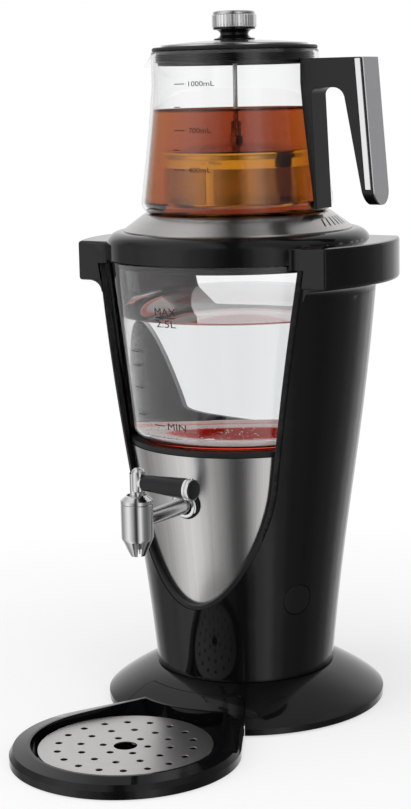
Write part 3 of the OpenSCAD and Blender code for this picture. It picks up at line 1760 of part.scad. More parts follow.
// Infuser on its rod
sleeve_z = cap_top_z + 4.2;
sleeve_h = 10.5;
sleeve_r = 3.4;
hex_r = 5;
cap_r = basket_r + 1;
cap_skirt_h = 6;
cap_skirt_z = basket_top_z;
cap_rise_r = 44;
rod_low_z = cap_top_z - 5;
nut_flat_r = 3.1;
basket_neck_h = 4;
basket_foot_r = basket_r - 1.2;
basket_corner_r = 3;
module infuser_rod() {
  color(steel) {
    translate([0, 0, rod_low_z])
      cylinder(r=rod_r, h=knob_z + 4.4 - rod_low_z, $fn=32);
    translate([0, 0, knob_z])
      cylinder(r=nut_flat_r, h=2.3, $fn=6);
    translate([0, 0, rod_low_z + 0.5])
      cylinder(r=nut_flat_r, h=2.3, $fn=6);
  }
}
module rod_sleeve() {
  color(steel)
  difference() {
    translate([0, 0, sleeve_z + 0.05])
      cylinder(r=sleeve_r, h=sleeve_h, $fn=48);
    translate([0, 0, sleeve_z - over])
      cylinder(r=rod_hole_r, h=sleeve_h + 3 * over, $fn=32);
    for (turn = [0:60:120])
      translate([0, 0, sleeve_z + sleeve_h * 0.35])
        facing(turn)
          translate([-0.5, -2 * sleeve_r, 0])
            cube([1, 4 * sleeve_r, sleeve_h]);
  }
}
module rod_collar() {
  color(steel)
  difference() {
    translate([0, 0, cap_top_z + 0.05])
      cylinder(r=hex_r, h=sleeve_z - cap_top_z - 0.05, $fn=6);
    translate([0, 0, cap_top_z - over])
      cylinder(r=rod_hole_r, h=sleeve_z, $fn=32);
  }
}
module infuser_cap() {
  steps = 6;
  function dome(r) = cap_skirt_z + cap_skirt_h + (infuser_cap_h - cap_skirt_h) * (1 - pow(r / cap_rise_r, 2));
  color(steel)
  rotate_extrude()
    polygon(concat(
      [for (i = [0:steps]) let (r = rod_hole_r + (cap_rise_r - rod_hole_r) * i / steps) [r, dome(r)]],
      [[cap_r - 0.8, cap_skirt_z + cap_skirt_h - 0.6], [cap_r, cap_skirt_z + cap_skirt_h - 1.4],
       [cap_r, cap_skirt_z + 3.6], [cap_r - 0.3, cap_skirt_z + 3.3], [cap_r - 0.3, cap_skirt_z + 2.9],
       [cap_r, cap_skirt_z + 2.6], [cap_r, cap_skirt_z], [cap_r - 0.8, cap_skirt_z],
       [cap_r - 0.8, cap_skirt_z + cap_skirt_h - 1.6]],
      [for (i = [steps:-1:0]) let (r = rod_hole_r + (cap_rise_r - rod_hole_r) * i / steps)
        [r, dome(r) - infuser_wall]]));
}
module infuser_basket() {
  neck_r = basket_r - 0.2;
  corner = [basket_foot_r - basket_corner_r, basket_z + basket_corner_r];
  color(steel)
  rotate_extrude()
    polygon(concat([[0, basket_z]], arc(corner, basket_corner_r, -90, 0, 4),
      [[neck_r, basket_top_z - 6], [neck_r, basket_top_z + basket_neck_h],
       [neck_r - infuser_wall, basket_top_z + basket_neck_h], [neck_r - infuser_wall, basket_top_z - 6]],
      reverse(arc(corner, basket_corner_r - infuser_wall, -90, 0, 4)), [[0, basket_z + infuser_wall]]));
}

base_skirt();
bottom_plate();
foot_ring();
base_screws();
housing();
rear_cover();
body_screws();
front_panel();
panel_trim();
boiler_base();
boiler_glass();
bottom_seal();
heater_plate();
heating_element();
thermostat();
light_ring();
heater_leads();
control_board();
power_switch();
outlet_hose();
hose_clamps();
tap_body();
tap_bonnet();
tap_flange();
tap_gasket();
tap_washer();
tap_nut();
cord_gland();
tap_stem();
lever_grip();
lever_ring();
lever_cap();
power_button();
drip_tray();
tray_feet();
drip_plate();
cover_ring();
stand_ring();
cover_seal();
cover_screws();
teapot_glass();
teapot_handle();
handle_trim();
handle_plate();
lid_plate();
lid_ring();
lid_gasket();
knob_neck();
knob_ring();
knob_cap();
infuser_rod();
rod_sleeve();
rod_collar();
infuser_cap();
infuser_basket();
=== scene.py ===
"""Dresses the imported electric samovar: finishes, liquids, marks, studio and camera.

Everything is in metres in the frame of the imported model: Z is up, the axis of the boiler is Z,
the front is -Y and the table is z = 0. Turns round the axis go from the front towards +X.
"""

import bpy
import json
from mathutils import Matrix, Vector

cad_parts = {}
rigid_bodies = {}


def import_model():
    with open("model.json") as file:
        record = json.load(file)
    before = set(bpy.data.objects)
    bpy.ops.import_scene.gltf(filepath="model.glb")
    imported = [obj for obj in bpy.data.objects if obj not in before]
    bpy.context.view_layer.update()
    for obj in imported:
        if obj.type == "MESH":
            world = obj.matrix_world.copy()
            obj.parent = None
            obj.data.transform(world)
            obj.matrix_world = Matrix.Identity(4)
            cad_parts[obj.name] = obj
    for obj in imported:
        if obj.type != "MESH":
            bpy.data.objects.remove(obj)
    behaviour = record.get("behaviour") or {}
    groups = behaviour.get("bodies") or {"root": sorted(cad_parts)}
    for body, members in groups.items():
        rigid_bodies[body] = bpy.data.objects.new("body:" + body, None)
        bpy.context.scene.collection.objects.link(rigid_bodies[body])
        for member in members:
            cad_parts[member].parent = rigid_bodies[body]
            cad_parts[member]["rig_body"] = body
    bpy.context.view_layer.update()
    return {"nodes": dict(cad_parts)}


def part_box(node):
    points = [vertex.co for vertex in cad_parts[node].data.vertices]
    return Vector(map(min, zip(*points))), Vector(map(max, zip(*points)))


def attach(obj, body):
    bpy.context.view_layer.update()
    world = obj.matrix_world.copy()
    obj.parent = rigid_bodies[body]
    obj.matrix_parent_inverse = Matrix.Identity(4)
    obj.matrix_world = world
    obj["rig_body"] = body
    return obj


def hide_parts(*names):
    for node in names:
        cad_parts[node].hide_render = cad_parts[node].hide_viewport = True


bl_info = {
    "name": "Samovar dresser",
    "version": (1, 0, 0),
    "blender": (4, 5, 0),
    "location": "View3D > Sidebar > Samovar",
    "description": "Finishes, liquids, marks and studio for a glass samovar",
    "category": "Object",
}

import json
import math

import bmesh
import bpy
from bpy.props import FloatProperty, FloatVectorProperty, IntProperty, PointerProperty
from bpy.types import Operator, Panel, PropertyGroup
from mathutils import Matrix, Vector

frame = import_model()
NODES = frame["nodes"]


# Sizes and colours


def length(name, text, value, low=0.0, high=1.0):
    """A size in metres for the panel."""
    return FloatProperty(
        name=name, description=text, default=value, min=low, max=high,
        precision=4, subtype="DISTANCE", unit="LENGTH",
    )


def colour(name, text, value):
    """A colour for the panel."""
    return FloatVectorProperty(
        name=name, description=text, default=value, size=3, min=0.0, max=1.0, subtype="COLOR"
    )


class SamovarFinishes(PropertyGroup):
    """Colours of the moulded, metal and clear pieces."""

    shell: colour("Shell", "Glossy black of the moulded shells", (0.0036, 0.0036, 0.0041))
    trim: colour("Trim", "Matte black of the frame and the cup under the glass", (0.011, 0.011, 0.012))
    rubber: colour("Rubber", "Feet, gland and gaskets", (0.013, 0.013, 0.013))
    silicone: colour("Silicone", "Lower seal, tap washer and water hose", (0.62, 0.6, 0.56))
    steel: colour("Steel", "Brushed and turned steel", (0.62, 0.615, 0.605))
    warm_steel: colour("Warm steel", "The steel ring that the teapot stands on", (0.5, 0.485, 0.47))
    chrome: colour("Chrome", "The tap", (0.74, 0.74, 0.75))
    satin: colour("Satin plate", "Plate on the grip", (0.66, 0.66, 0.68))
    tea: colour("Tea", "Tint of the tea where it meets the glass", (0.93, 0.55, 0.02))
    tea_depth: colour("Tea in depth", "Tint that the tea takes with depth", (0.52, 0.0, 0.8))
    water: colour("Water", "Tint of the water", (0.85, 0.855, 0.865))
    lamp: colour("Lamp", "Red light under the boiler", (1.0, 0.1, 0.05))
    ink: colour("Ink", "Printed marks", (0.012, 0.012, 0.013))


class SamovarSizes(PropertyGroup):
    """Levels, clearances and edges."""

    water_level: length("Water level", "Height of the water in the boiler", 0.2872, 0.21, 0.32)
    tea_level: length("Tea level", "Height of the tea in the teapot", 0.4308, 0.37, 0.46)
    film: length("Film", "Gap between a liquid and its glass", 0.00012, 0.00005, 0.001)
    edge: length("Edge", "Rounding of the edges of moulded pieces", 0.0005, 0.0, 0.002)
    ink_lift: length("Ink lift", "Height of the printed marks above the glass", 0.00015, 0.0, 0.001)
    mesh_pitch: length("Sieve pitch", "Distance between the holes of the infuser", 0.0019, 0.001, 0.004)
    bubbles: IntProperty(
        name="Bubbles", description="Bubbles on the floor of the boiler", default=260, min=0, max=900
    )


def finishes():
    return bpy.context.scene.samovar_finishes


def sizes():
    return bpy.context.scene.samovar_sizes


# Nodes


def feed(tree, node, inputs):
    """Fills a node's inputs by name or number: a socket is linked, anything else is the input's own value."""
    for label, value in inputs.items():
        socket = node.inputs[label]
        if isinstance(value, bpy.types.NodeSocket):
            tree.links.new(value, socket)
        elif socket.type == "RGBA":
            socket.default_value = (*value, 1)
        else:
            socket.default_value = value


def add_node(tree, kind, inputs=None, **settings):
    """Adds a node with its settings and its inputs."""
    node = tree.nodes.new(kind)
    for label, value in settings.items():
        setattr(node, label, value)
    feed(tree, node, inputs or {})
    return node


def calculate(tree, operation, a, b=None, clamp=False):
    """A Math node; a and b are sockets or numbers. Returns its output."""
    inputs = {0: a} if b is None else {0: a, 1: b}
    return add_node(tree, "ShaderNodeMath", inputs, operation=operation, use_clamp=clamp).outputs[0]


def plus(tree, a, b, clamp=False):
    return calculate(tree, "ADD", a, b, clamp)


def minus(tree, a, b):
    return calculate(tree, "SUBTRACT", a, b)


def times(tree, a, b, clamp=False):
    return calculate(tree, "MULTIPLY", a, b, clamp)


def noise(tree, vector, scale, detail=2.0, rough=0.5):
    """A Noise texture; returns its value."""
    inputs = {"Vector": vector, "Scale": scale, "Detail": detail, "Roughness": rough}
    return add_node(tree, "ShaderNodeTexNoise", inputs).outputs[0]


def between(tree, share, low, high):
    """Maps 0..1 onto low..high."""
    return plus(tree, times(tree, share, minus(tree, high, low)), low)


def mixed(tree, share, a, b, blend="MIX"):
    """Mixes two colours; returns the result."""
    inputs = {0: share, "A": a, "B": b}
    return add_node(tree, "ShaderNodeMix", inputs, data_type="RGBA", blend_type=blend).outputs["Result"]


def ramp(tree, share, stops, interpolation="LINEAR"):
    """A colour ramp, whose stops are (place, grey level or colour). Returns its colour."""
    node = add_node(tree, "ShaderNodeValToRGB", {0: share})
    node.color_ramp.interpolation = interpolation
    elements = node.color_ramp.elements
    elements.remove(elements[1])
    for i, (place, tint) in enumerate(stops):
        stop = elements[0] if i == 0 else elements.new(place)
        stop.position = place
        stop.color = (*tint, 1) if isinstance(tint, tuple) else (tint, tint, tint, 1)
    return node.outputs[0]


def split(tree, vector):
    """X, Y and Z of a vector."""
    return add_node(tree, "ShaderNodeSeparateXYZ", {0: vector}).outputs


# Shared shader groups


def new_socket(tree, label, kind, side="INPUT"):
    return tree.interface.new_socket(name=label, in_out=side, socket_type="NodeSocket" + kind)


def new_group(name, inputs, outputs):
    """An empty shader group and its two ends. Its sockets are numbers, except those called Vector."""
    tree = bpy.data.node_groups.new(name, "ShaderNodeTree")
    for label, value in inputs.items():
        if label == "Vector":
            new_socket(tree, label, "Vector")
        else:
            new_socket(tree, label, "Float").default_value = value
    for label in outputs:
        new_socket(tree, label, "Vector" if label == "Vector" else "Float", "OUTPUT")
    return tree, tree.nodes.new("NodeGroupInput").outputs, tree.nodes.new("NodeGroupOutput")


def grain_group(name):
    """Fine moulded grain and faint smudges: a bump height and a roughness."""
    inputs = {"Vector": None, "Grain Scale": 900.0, "Smudge Scale": 14.0, "Low": 0.2, "High": 0.3}
    tree, source, result = new_group(name, inputs, ("Height", "Roughness"))
    grain = noise(tree, source["Vector"], source["Grain Scale"], 3.0, 0.6)
    smudge = noise(tree, source["Vector"], source["Smudge Scale"], 4.0, 0.55)
    share = plus(tree, times(tree, smudge, 0.75), times(tree, grain, 0.25))
    feed(tree, result, {"Height": grain, "Roughness": between(tree, share, source["Low"], source["High"])})
    return tree


def brushed_group(name):
    """Brushing: lines that run where the vector changes least. Puts out a shade, a height and a roughness."""
    inputs = {"Vector": None, "Line Scale": 1.0, "Low": 0.25, "High": 0.4, "Contrast": 0.12}
    tree, source, result = new_group(name, inputs, ("Shade", "Height", "Roughness"))
    fine = noise(tree, source["Vector"], source["Line Scale"], 6.0, 0.75)
    broad = noise(tree, source["Vector"], times(tree, source["Line Scale"], 0.22))
    spread = minus(tree, plus(tree, fine, broad), 1.0)
    feed(tree, result, {
        "Shade": plus(tree, 1.0, times(tree, source["Contrast"], spread)),
        "Height": fine,
        "Roughness": between(tree, fine, source["Low"], source["High"]),
    })
    return tree


STRETCHES = ("Turn Stretch", "Radius Stretch", "Height Stretch")


def round_group(name):
    """Turns coordinates into turn, radius and height round an upright axis, for brushing round it."""
    inputs = {"Vector": None, **dict.fromkeys(STRETCHES, 0.0)}
    tree, source, result = new_group(name, inputs, ("Vector",))
    x, y, z = split(tree, source["Vector"])
    radius = calculate(tree, "SQRT", plus(tree, times(tree, x, x), times(tree, y, y)))
    turn = calculate(tree, "ARCTAN2", x, times(tree, y, -1.0))
    parts = {i: times(tree, part, source[STRETCHES[i]]) for i, part in enumerate((turn, radius, z))}
    feed(tree, result, {"Vector": add_node(tree, "ShaderNodeCombineXYZ", parts).outputs[0]})
    return tree


GROUP_MAKERS = {
    "moulded grain": grain_group, "brushed lines": brushed_group, "round coordinates": round_group,
}
GROUPS = {}


def group_node(tree, name, inputs):
    """Places a shared group in a material; returns its outputs."""
    if name not in GROUPS:
        GROUPS[name] = GROUP_MAKERS[name](name)
    return add_node(tree, "ShaderNodeGroup", inputs, node_tree=GROUPS[name]).outputs


# Materials


def base_material(name):
    """A material with a Principled shader; returns it, its tree and its shader."""
    material = bpy.data.materials.new(name)
    material.use_nodes = True
    return material, material.node_tree, material.node_tree.nodes["Principled BSDF"]


def object_coordinates(tree, centre=(0, 0, 0)):
    """Object coordinates seen from a centre."""
    inputs = {"Vector": add_node(tree, "ShaderNodeTexCoord").outputs["Object"], "Location": centre}
    return add_node(tree, "ShaderNodeMapping", inputs, vector_type="TEXTURE").outputs["Vector"]


def round_coordinates(tree, stretches, centre=(0, 0, 0)):
    """Turn, radius and height round an upright axis, each stretched."""
    inputs = {"Vector": object_coordinates(tree, centre), **dict(zip(STRETCHES, stretches))}
    return group_node(tree, "round coordinates", inputs)["Vector"]


def axis_distance(tree):
    """Distance from the axis of the boiler."""
    return split(tree, round_coordinates(tree, (0.0, 1.0, 0.0)))[1]


def add_bump(tree, shader, height, strength, distance):
    bump = add_node(tree, "ShaderNodeBump", {"Strength": strength, "Distance": distance, "Height": height})
    feed(tree, shader, {"Normal": bump.outputs["Normal"]})


def tinted(tree, shader, shade, tint):
    """Base colour: a tint times a shade that changes over the surface."""
    feed(tree, shader, {"Base Color": mixed(tree, 1.0, tint, shade, "MULTIPLY")})


def smudged(name, tint, low, high, grain, smudge, constants):
    """A material with grain and smudges in its roughness; returns it, its shader and the grain's height."""
    material, tree, shader = base_material(name)
    inputs = {"Vector": object_coordinates(tree), "Grain Scale": grain, "Smudge Scale": smudge}
    group = group_node(tree, "moulded grain", {**inputs, "Low": low, "High": high})
    feed(tree, shader, {"Base Color": tint, "Roughness": group["Roughness"], **constants})
    return material, shader, group["Height"]


def moulded(name, tint, low, high, grain, bump, specular):
    """Moulded plastic, rubber or silicone; low and high are the ends of its roughness, as in all of these."""
    constants = {"Specular IOR Level": specular}
    material, shader, height = smudged(name, tint, low, high, grain, 14.0, constants)
    add_bump(material.node_tree, shader, height, bump, 0.00005)
    return material


def polished(name, tint, low, high):
    """Plated metal."""
    return smudged(name, tint, low, high, 500.0, 22.0, {"Metallic": 1.0})[0]


def clear(name, tint, index, high=0.012):
    """Glass, water or tea."""
    return smudged(name, tint, 0.0, high, 300.0, 9.0, {"Transmission Weight": 1.0, "IOR": index})[0]


def brushed_lines(tree, low, high, stretches, contrast, centre=(0, 0, 0), scale=1.0):
    """Brushing round an axis, with lines along the least stretched of turn, radius and height."""
    inputs = {"Vector": round_coordinates(tree, stretches, centre), "Line Scale": scale}
    return group_node(tree, "brushed lines", {**inputs, "Low": low, "High": high, "Contrast": contrast})


def brushed(name, tint, *lines, **more):
    """Brushed steel; what follows its tint goes on to brushed_lines."""
    material, tree, shader = base_material(name)
    lines = brushed_lines(tree, *lines, **more)
    tinted(tree, shader, lines["Shade"], tint)
    add_bump(tree, shader, lines["Height"], 0.06, 0.00004)
    feed(tree, shader, {"Roughness": lines["Roughness"], "Metallic": 1.0})
    return material


# Index of refraction of glass and water
GLASS_BEND, WATER_BEND = 1.44, 1.333
# The tea bends light less than water does, so that the basket keeps the width it has in the photograph
TEA_BEND = 1.11
TEA_DENSITY = 22.0
# Height and colour of the painted shade along the upper edge of the tea, where its curved surface looks dark
MENISCUS = 0.0011
MENISCUS_PAINTED_SHADE = (0.16, 0.03, 0.004)
# Middle of the drip plate
PLATE_CENTRE = (0, -0.1596, 0)


def make_materials():
    """Every finish of the samovar, by name."""
    look = finishes()
    turned = (1.2, 900.0, 300.0)
    made = {
        "shell": moulded("black gloss shell", look.shell, 0.045, 0.1, 1500.0, 0.015, 0.36),
        "grip": moulded("black satin grip", look.shell, 0.27, 0.36, 1200.0, 0.08, 0.4),
        "trim": moulded("black matte trim", look.trim, 0.38, 0.5, 1100.0, 0.1, 0.35),
        "rubber": moulded("black rubber", look.rubber, 0.55, 0.75, 700.0, 0.3, 0.3),
        "silicone": moulded("milky silicone", look.silicone, 0.35, 0.5, 500.0, 0.1, 0.4),
        "cast": moulded("cast aluminium", (0.55, 0.55, 0.56), 0.4, 0.55, 400.0, 0.4, 0.5),
        "board": moulded("coated board", (0.02, 0.11, 0.05), 0.3, 0.45, 500.0, 0.2, 0.5),
        "panel": brushed("upright brushed steel", look.steel, 0.17, 0.26, (34.0, 2.0, 1.6), 0.16, scale=6.0),
        "stand": brushed("turned warm steel", look.warm_steel, 0.17, 0.26, (1.2, 900.0, 900.0), 0.14),
        "lid": brushed("turned lid steel", look.steel, 0.14, 0.22, turned, 0.1),
        "drip": brushed(
            "turned plate steel", (0.6, 0.59, 0.58), 0.26, 0.4, (1.5, 700.0, 50.0), 0.1, PLATE_CENTRE
        ),
        "spun": brushed("spun steel", (0.6, 0.6, 0.6), 0.2, 0.32, (1.0, 600.0, 600.0), 0.1),
        "satin": brushed("satin plate", look.satin, 0.34, 0.44, (1.0, 1.0, 700.0), 0.06),
        "cap": brushed("knob cap", (0.66, 0.66, 0.67), 0.2, 0.3, turned, 0.06),
        "screws": polished("screw steel", (0.55, 0.55, 0.55), 0.25, 0.35),
        "chrome": polished("satin chrome", look.chrome, 0.1, 0.16),
        "bright": polished("bright chrome", (0.82, 0.82, 0.83), 0.03, 0.06),
        "fluted": polished("fluted chrome", (0.95, 0.95, 0.95), 0.26, 0.32),
        "brass": polished("turned brass", (0.72, 0.52, 0.22), 0.22, 0.34),
        "glass": clear("clear glass", (0.985, 0.992, 0.99), GLASS_BEND),
        "water": clear("still water", look.water, WATER_BEND, 0.004),
        "bubble": clear("air in water", (1, 1, 1), 1.0 / WATER_BEND, 0.01),
        "tea": tea_material(look),
        "sieve": stained_sieve(),
        "lamp": lamp_material(look),
        "floor": boiler_floor_painted_light(),
        "ink": ink_material(look),
        "leads": lead_material(),
    }
    # The moulded finish is not metal, but this casting is
    made["cast"].node_tree.nodes["Principled BSDF"].inputs["Metallic"].default_value = 0.85
    return made


def tea_material(look):
    """Tea: a tint where it meets the glass, more with depth, and painted shade along its upper edge."""
    material = clear("brewed tea", look.tea, TEA_BEND, 0.004)
    tree = material.node_tree
    # Painted shade: the tea's colour turns dark in its top millimetre, standing in for the dark look of its
    # curved edge
    above = minus(tree, split(tree, object_coordinates(tree))[2], sizes().tea_level - MENISCUS)
    share = times(tree, above, 1.0 / MENISCUS, clamp=True)
    surface = mixed(tree, share, look.tea, MENISCUS_PAINTED_SHADE)
    feed(tree, tree.nodes["Principled BSDF"], {"Base Color": surface})
    inputs = {"Color": look.tea_depth, "Density": TEA_DENSITY}
    depth = add_node(tree, "ShaderNodeVolumeAbsorption", inputs)
    feed(tree, tree.nodes["Material Output"], {"Volume": depth.outputs["Volume"]})
    return material


def stained_sieve():
    """Steel of the infuser, dark from tea on its inside."""
    material = brushed("sieve steel", (0.84, 0.8, 0.74), 0.12, 0.2, (1.0, 300.0, 900.0), 0.08)
    tree = material.node_tree
    shader = tree.nodes["Principled BSDF"]
    outside = shader.inputs["Base Color"].links[0].from_socket
    inside = add_node(tree, "ShaderNodeNewGeometry").outputs["Backfacing"]
    feed(tree, shader, {"Base Color": mixed(tree, inside, outside, (0.05, 0.025, 0.01))})
    return material


def lamp_material(look):
    """Red light ring: brighter over each lamp behind it."""
    material, tree, shader = base_material("red light ring")
    spots = noise(tree, round_coordinates(tree, (12.0, 40.0, 40.0)), 1.0, 1.0)
    tinted(tree, shader, spots, look.lamp)
    glow = mixed(tree, spots, (0.5, 0.03, 0.015), look.lamp)
    feed(tree, shader, {"Emission Color": glow, "Emission Strength": 1.6, "Roughness": 0.4})
    return material


# Colours of the boiler's floor from its middle to its edge, by share of the radius: the steel's own grey,
# with the red light of the light ring painted in
FLOOR_RADIUS = 0.069
FLOOR_STEEL_AND_PAINTED_LIGHT = (
    (0.0, (0.21, 0.008, 0.004)), (0.42, (0.21, 0.006, 0.003)), (0.54, (0.36, 0.012, 0.006)),
    (0.62, (0.42, 0.33, 0.32)), (0.86, (0.42, 0.41, 0.405)), (0.93, (0.45, 0.08, 0.05)),
    (1.0, (0.4, 0.36, 0.35)),
)


def boiler_floor_painted_light():
    """Steel floor of the boiler, with the red light from its rim painted into its colour and its glow."""
    material, tree, shader = base_material("red lit steel floor")
    lines = brushed_lines(tree, 0.22, 0.34, (1.0, 500.0, 1.0), 0.15)
    # Painted light: the steel's grey and the red light from the light ring are painted into one colour, which
    # the floor also glows with
    rings = ramp(tree, times(tree, axis_distance(tree), 1.0 / FLOOR_RADIUS), FLOOR_STEEL_AND_PAINTED_LIGHT)
    glow = mixed(tree, 1.0, rings, lines["Shade"], "MULTIPLY")
    feed(tree, shader, {"Base Color": glow, "Emission Color": glow, "Roughness": lines["Roughness"]})
    feed(tree, shader, {"Emission Strength": 0.85, "Metallic": 0.02, "Specular IOR Level": 0.0})
    return material


def ink_material(look):
    """Printed marks, a little uneven."""
    material, tree, shader = base_material("printed ink")
    patch = noise(tree, object_coordinates(tree), 700.0)
    tinted(tree, shader, between(tree, patch, 0.8, 1.6), look.ink)
    feed(tree, shader, {"Roughness": 0.5})
    return material


def lead_material():
    """Insulated leads: blue towards the front, red behind."""
    material, tree, shader = base_material("insulated leads")
    front = plus(tree, times(tree, split(tree, object_coordinates(tree))[1], -40.0), -0.4, clamp=True)
    sleeves = ramp(tree, front, ((0.0, (0.42, 0.02, 0.02)), (0.5, (0.02, 0.05, 0.35))), "CONSTANT")
    feed(tree, shader, {"Base Color": sleeves, "Roughness": 0.45})
    return material


MATERIALS = {}


def finish_of(name):
    """The material of a finish; the first call makes them all."""
    if not MATERIALS:
        MATERIALS.update(make_materials())
    return MATERIALS[name]


# Mesh helpers


def link(name, mesh):
    obj = bpy.data.objects.new(name, mesh)
    bpy.context.scene.collection.objects.link(obj)
    return obj


def mesh_from(work, name):
    """Turns a bmesh into a mesh and frees it."""
    mesh = bpy.data.meshes.new(name)
    work.to_mesh(mesh)
    work.free()
    return mesh


def apply_modifiers(obj):
    """Replaces an object's mesh by what its modifiers make of it."""
    depsgraph = bpy.context.evaluated_depsgraph_get()
    mesh = bpy.data.meshes.new_from_object(obj.evaluated_get(depsgraph), depsgraph=depsgraph)
    old = obj.data
    obj.modifiers.clear()
    obj.data = mesh
    mesh.name = obj.name
    bpy.data.meshes.remove(old)


# Faces that meet at less than this many degrees are shaded as one: of turned pieces, and of copies of solids
TURNED_SMOOTH, COPY_SMOOTH = 40, 32


def paint(obj, finish, angle=TURNED_SMOOTH):
    """Gives a piece its finish, and smooth shading up to an angle in degrees between faces."""
    obj.data.materials.clear()
    obj.data.materials.append(finish_of(finish))
    if angle:
        obj.data.shade_smooth()
        obj.data.set_sharp_from_angle(angle=math.radians(angle))


def dress_nodes(finish, *nodes):
    """Gives CAD nodes that stay as they are their finish."""
    material = finish_of(finish)
    for node in nodes:
        obj = NODES[node]
        if not obj.material_slots:
            obj.data.materials.append(material)
        for entry in obj.material_slots:
            entry.link = "DATA"
            entry.material = material


# The solids give the outer faces of the lugs this many flats to a full turn
LUG_SIDES = 32
# The lugs begin at this X. Edges beyond the first radius can be flats; vertices beyond the second are bent
LUG_X, LUG_OUTSIDE, LUG_REACH = 0.07, 0.105, 0.1128
# Shortest edge of a flat, and how much the ends of a level edge may differ in height
LUG_CHORD, LEVEL = 0.004, 0.00001


def round_lugs(work):
    """Bends the flats of the lugs' outer faces into one arc."""
    chords = []
    for edge in work.edges:
        ends = [vertex.co for vertex in edge.verts]
        level = abs(ends[0].z - ends[1].z) < LEVEL
        outside = min(abs(end.x) for end in ends) > LUG_X and min(end.xy.length for end in ends) > LUG_OUTSIDE
        if level and outside and edge.calc_length() > LUG_CHORD:
            chords.append(edge)
    bmesh.ops.subdivide_edges(work, edges=chords, cuts=5, use_grid_fill=True)
    half = math.pi / LUG_SIDES
    for vertex in work.verts:
        turn = math.atan2(vertex.co.y, vertex.co.x)
        middle = (math.floor(turn / (2 * half)) + 0.5) * 2 * half
        stretch = math.cos(turn - middle) / math.cos(half)
        if abs(vertex.co.x) > LUG_X and vertex.co.xy.length * stretch > LUG_REACH:
            vertex.co.xy *= stretch


# Vertices of a solid that are this close become one
SAME_POINT = 0.000004
# Faces that meet at less than this many degrees become one: more would join the facets of gentle cones
FLAT_ANGLE = 0.05
# Edges sharper than this many degrees are rounded
ROUNDED_ANGLE = 50.0


def finished_copy(node, finish, edge=None, segments=2, reshape=None):
    """A merged copy of a CAD node with its edges rounded, which then stands for the node."""
    work = bmesh.new()
    work.from_mesh(NODES[node].data)
    bmesh.ops.remove_doubles(work, verts=work.verts, dist=SAME_POINT)
    bmesh.ops.dissolve_degenerate(work, edges=work.edges, dist=SAME_POINT)
    flat = math.radians(FLAT_ANGLE)
    bmesh.ops.dissolve_limit(work, angle_limit=flat, verts=work.verts, edges=work.edges)
    if reshape:
        reshape(work)
    obj = link(node + "_finished", mesh_from(work, node + "_finished"))
    paint(obj, finish, COPY_SMOOTH)
    width = sizes().edge if edge is None else edge
    if width > 0:
        bevel = obj.modifiers.new("edges", "BEVEL")
        bevel.width = width
        bevel.segments = segments
        bevel.limit_method = "ANGLE"
        bevel.angle_limit = math.radians(ROUNDED_ANGLE)
        bevel.use_clamp_overlap = True
        bevel.miter_outer = "MITER_ARC"
    even = obj.modifiers.new("even normals", "WEIGHTED_NORMAL")
    even.keep_sharp = True
    apply_modifiers(obj)
    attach(obj, NODES[node]["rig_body"])
    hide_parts(node)


def revolve(name, profile, steps, close_ends=False):
    """A closed solid of revolution round Z from points (radius, height), bottom to top on the outside."""
    work = bmesh.new()
    rings = []
    turns = [2 * math.pi * i / steps for i in range(steps)]
    for radius, height in profile:
        points = [(radius * math.cos(turn), radius * math.sin(turn), height) for turn in turns]
        rings.append([work.verts.new(point) for point in (points if radius else points[:1])])
    pairs = list(zip(rings, rings[1:]))
    if close_ends:
        pairs.append((rings[-1], rings[0]))
    for low, high in pairs:
        for i in range(steps):
            j = (i + 1) % steps
            corner = [low[i % len(low)], low[j % len(low)], high[j % len(high)], high[i % len(high)]]
            distinct = list(dict.fromkeys(corner))
            if len(distinct) > 2:
                work.faces.new(distinct)
    bmesh.ops.recalc_face_normals(work, faces=work.faces)
    return link(name, mesh_from(work, name))


def arc_points(centre, radius, start, end, steps):
    """Points (radius, height) of an arc, its directions in degrees."""
    points = []
    for i in range(steps + 1):
        turn = math.radians(start + (end - start) * i / steps)
        points.append((centre[0] + radius * math.cos(turn), centre[1] + radius * math.sin(turn)))
    return points


# Shapes shared with the solids

# Boiler glass: its ends, its radius where the side begins, and the rounding and wall of its corner
GLASS_LOW, GLASS_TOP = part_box("boiler_glass")[0].z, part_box("boiler_glass")[1].z
GLASS_FOOT, GLASS_CORNER, GLASS_WALL = 0.082, 0.010, 0.0028
GLASS_SIDE = GLASS_LOW + GLASS_CORNER
GLASS_SLOPE = 0.0955
GLASS_LEAN = math.atan(GLASS_SLOPE)
GLASS_CORNER_AT = (GLASS_FOOT - GLASS_CORNER / math.cos(GLASS_LEAN), GLASS_SIDE)
FLOOR_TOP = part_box("heater_plate")[1].z - 0.002
# Teapot glass: its ends, its radii at foot and neck, its corner and wall, and where its taper starts and ends
STAND_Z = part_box("teapot_glass")[0].z
RIM_Z = STAND_Z + 0.1136
POT_FOOT, POT_TOP, POT_CORNER, POT_WALL = 0.0688, 0.0594, 0.008, 0.0022
POT_SIDE, POT_NECK = STAND_Z + POT_CORNER, STAND_Z + 0.090
POT_CORNER_AT = (POT_FOOT - POT_CORNER, POT_SIDE)


def boiler_radius(z):
    """Outer radius of the boiler glass."""
    return GLASS_FOOT + GLASS_SLOPE * (z - GLASS_SIDE)


def pot_radius(z):
    """Outer radius of the teapot glass."""
    share = max(0.0, min(1.0, (POT_NECK - z) / (POT_NECK - POT_SIDE)))
    return POT_TOP + (POT_FOOT - POT_TOP) * share**1.15


# Stage and camera

# Where the photograph was taken from: distance from the axis and height, then directions in degrees
CAMERA_REACH, CAMERA_HEIGHT = 1.3206, 0.4486
CAMERA_TURN, CAMERA_YAW, CAMERA_PITCH, CAMERA_ROLL = 31.226, 1.131, 9.895, -1.253
CAMERA_LENS, SENSOR = 81.49, 36.0


def at_turn(degrees, reach, height):
    """The point at a turn from the front, a distance from the axis and a height."""
    turn = math.radians(degrees)
    return Vector((reach * math.sin(turn), -reach * math.cos(turn), height))


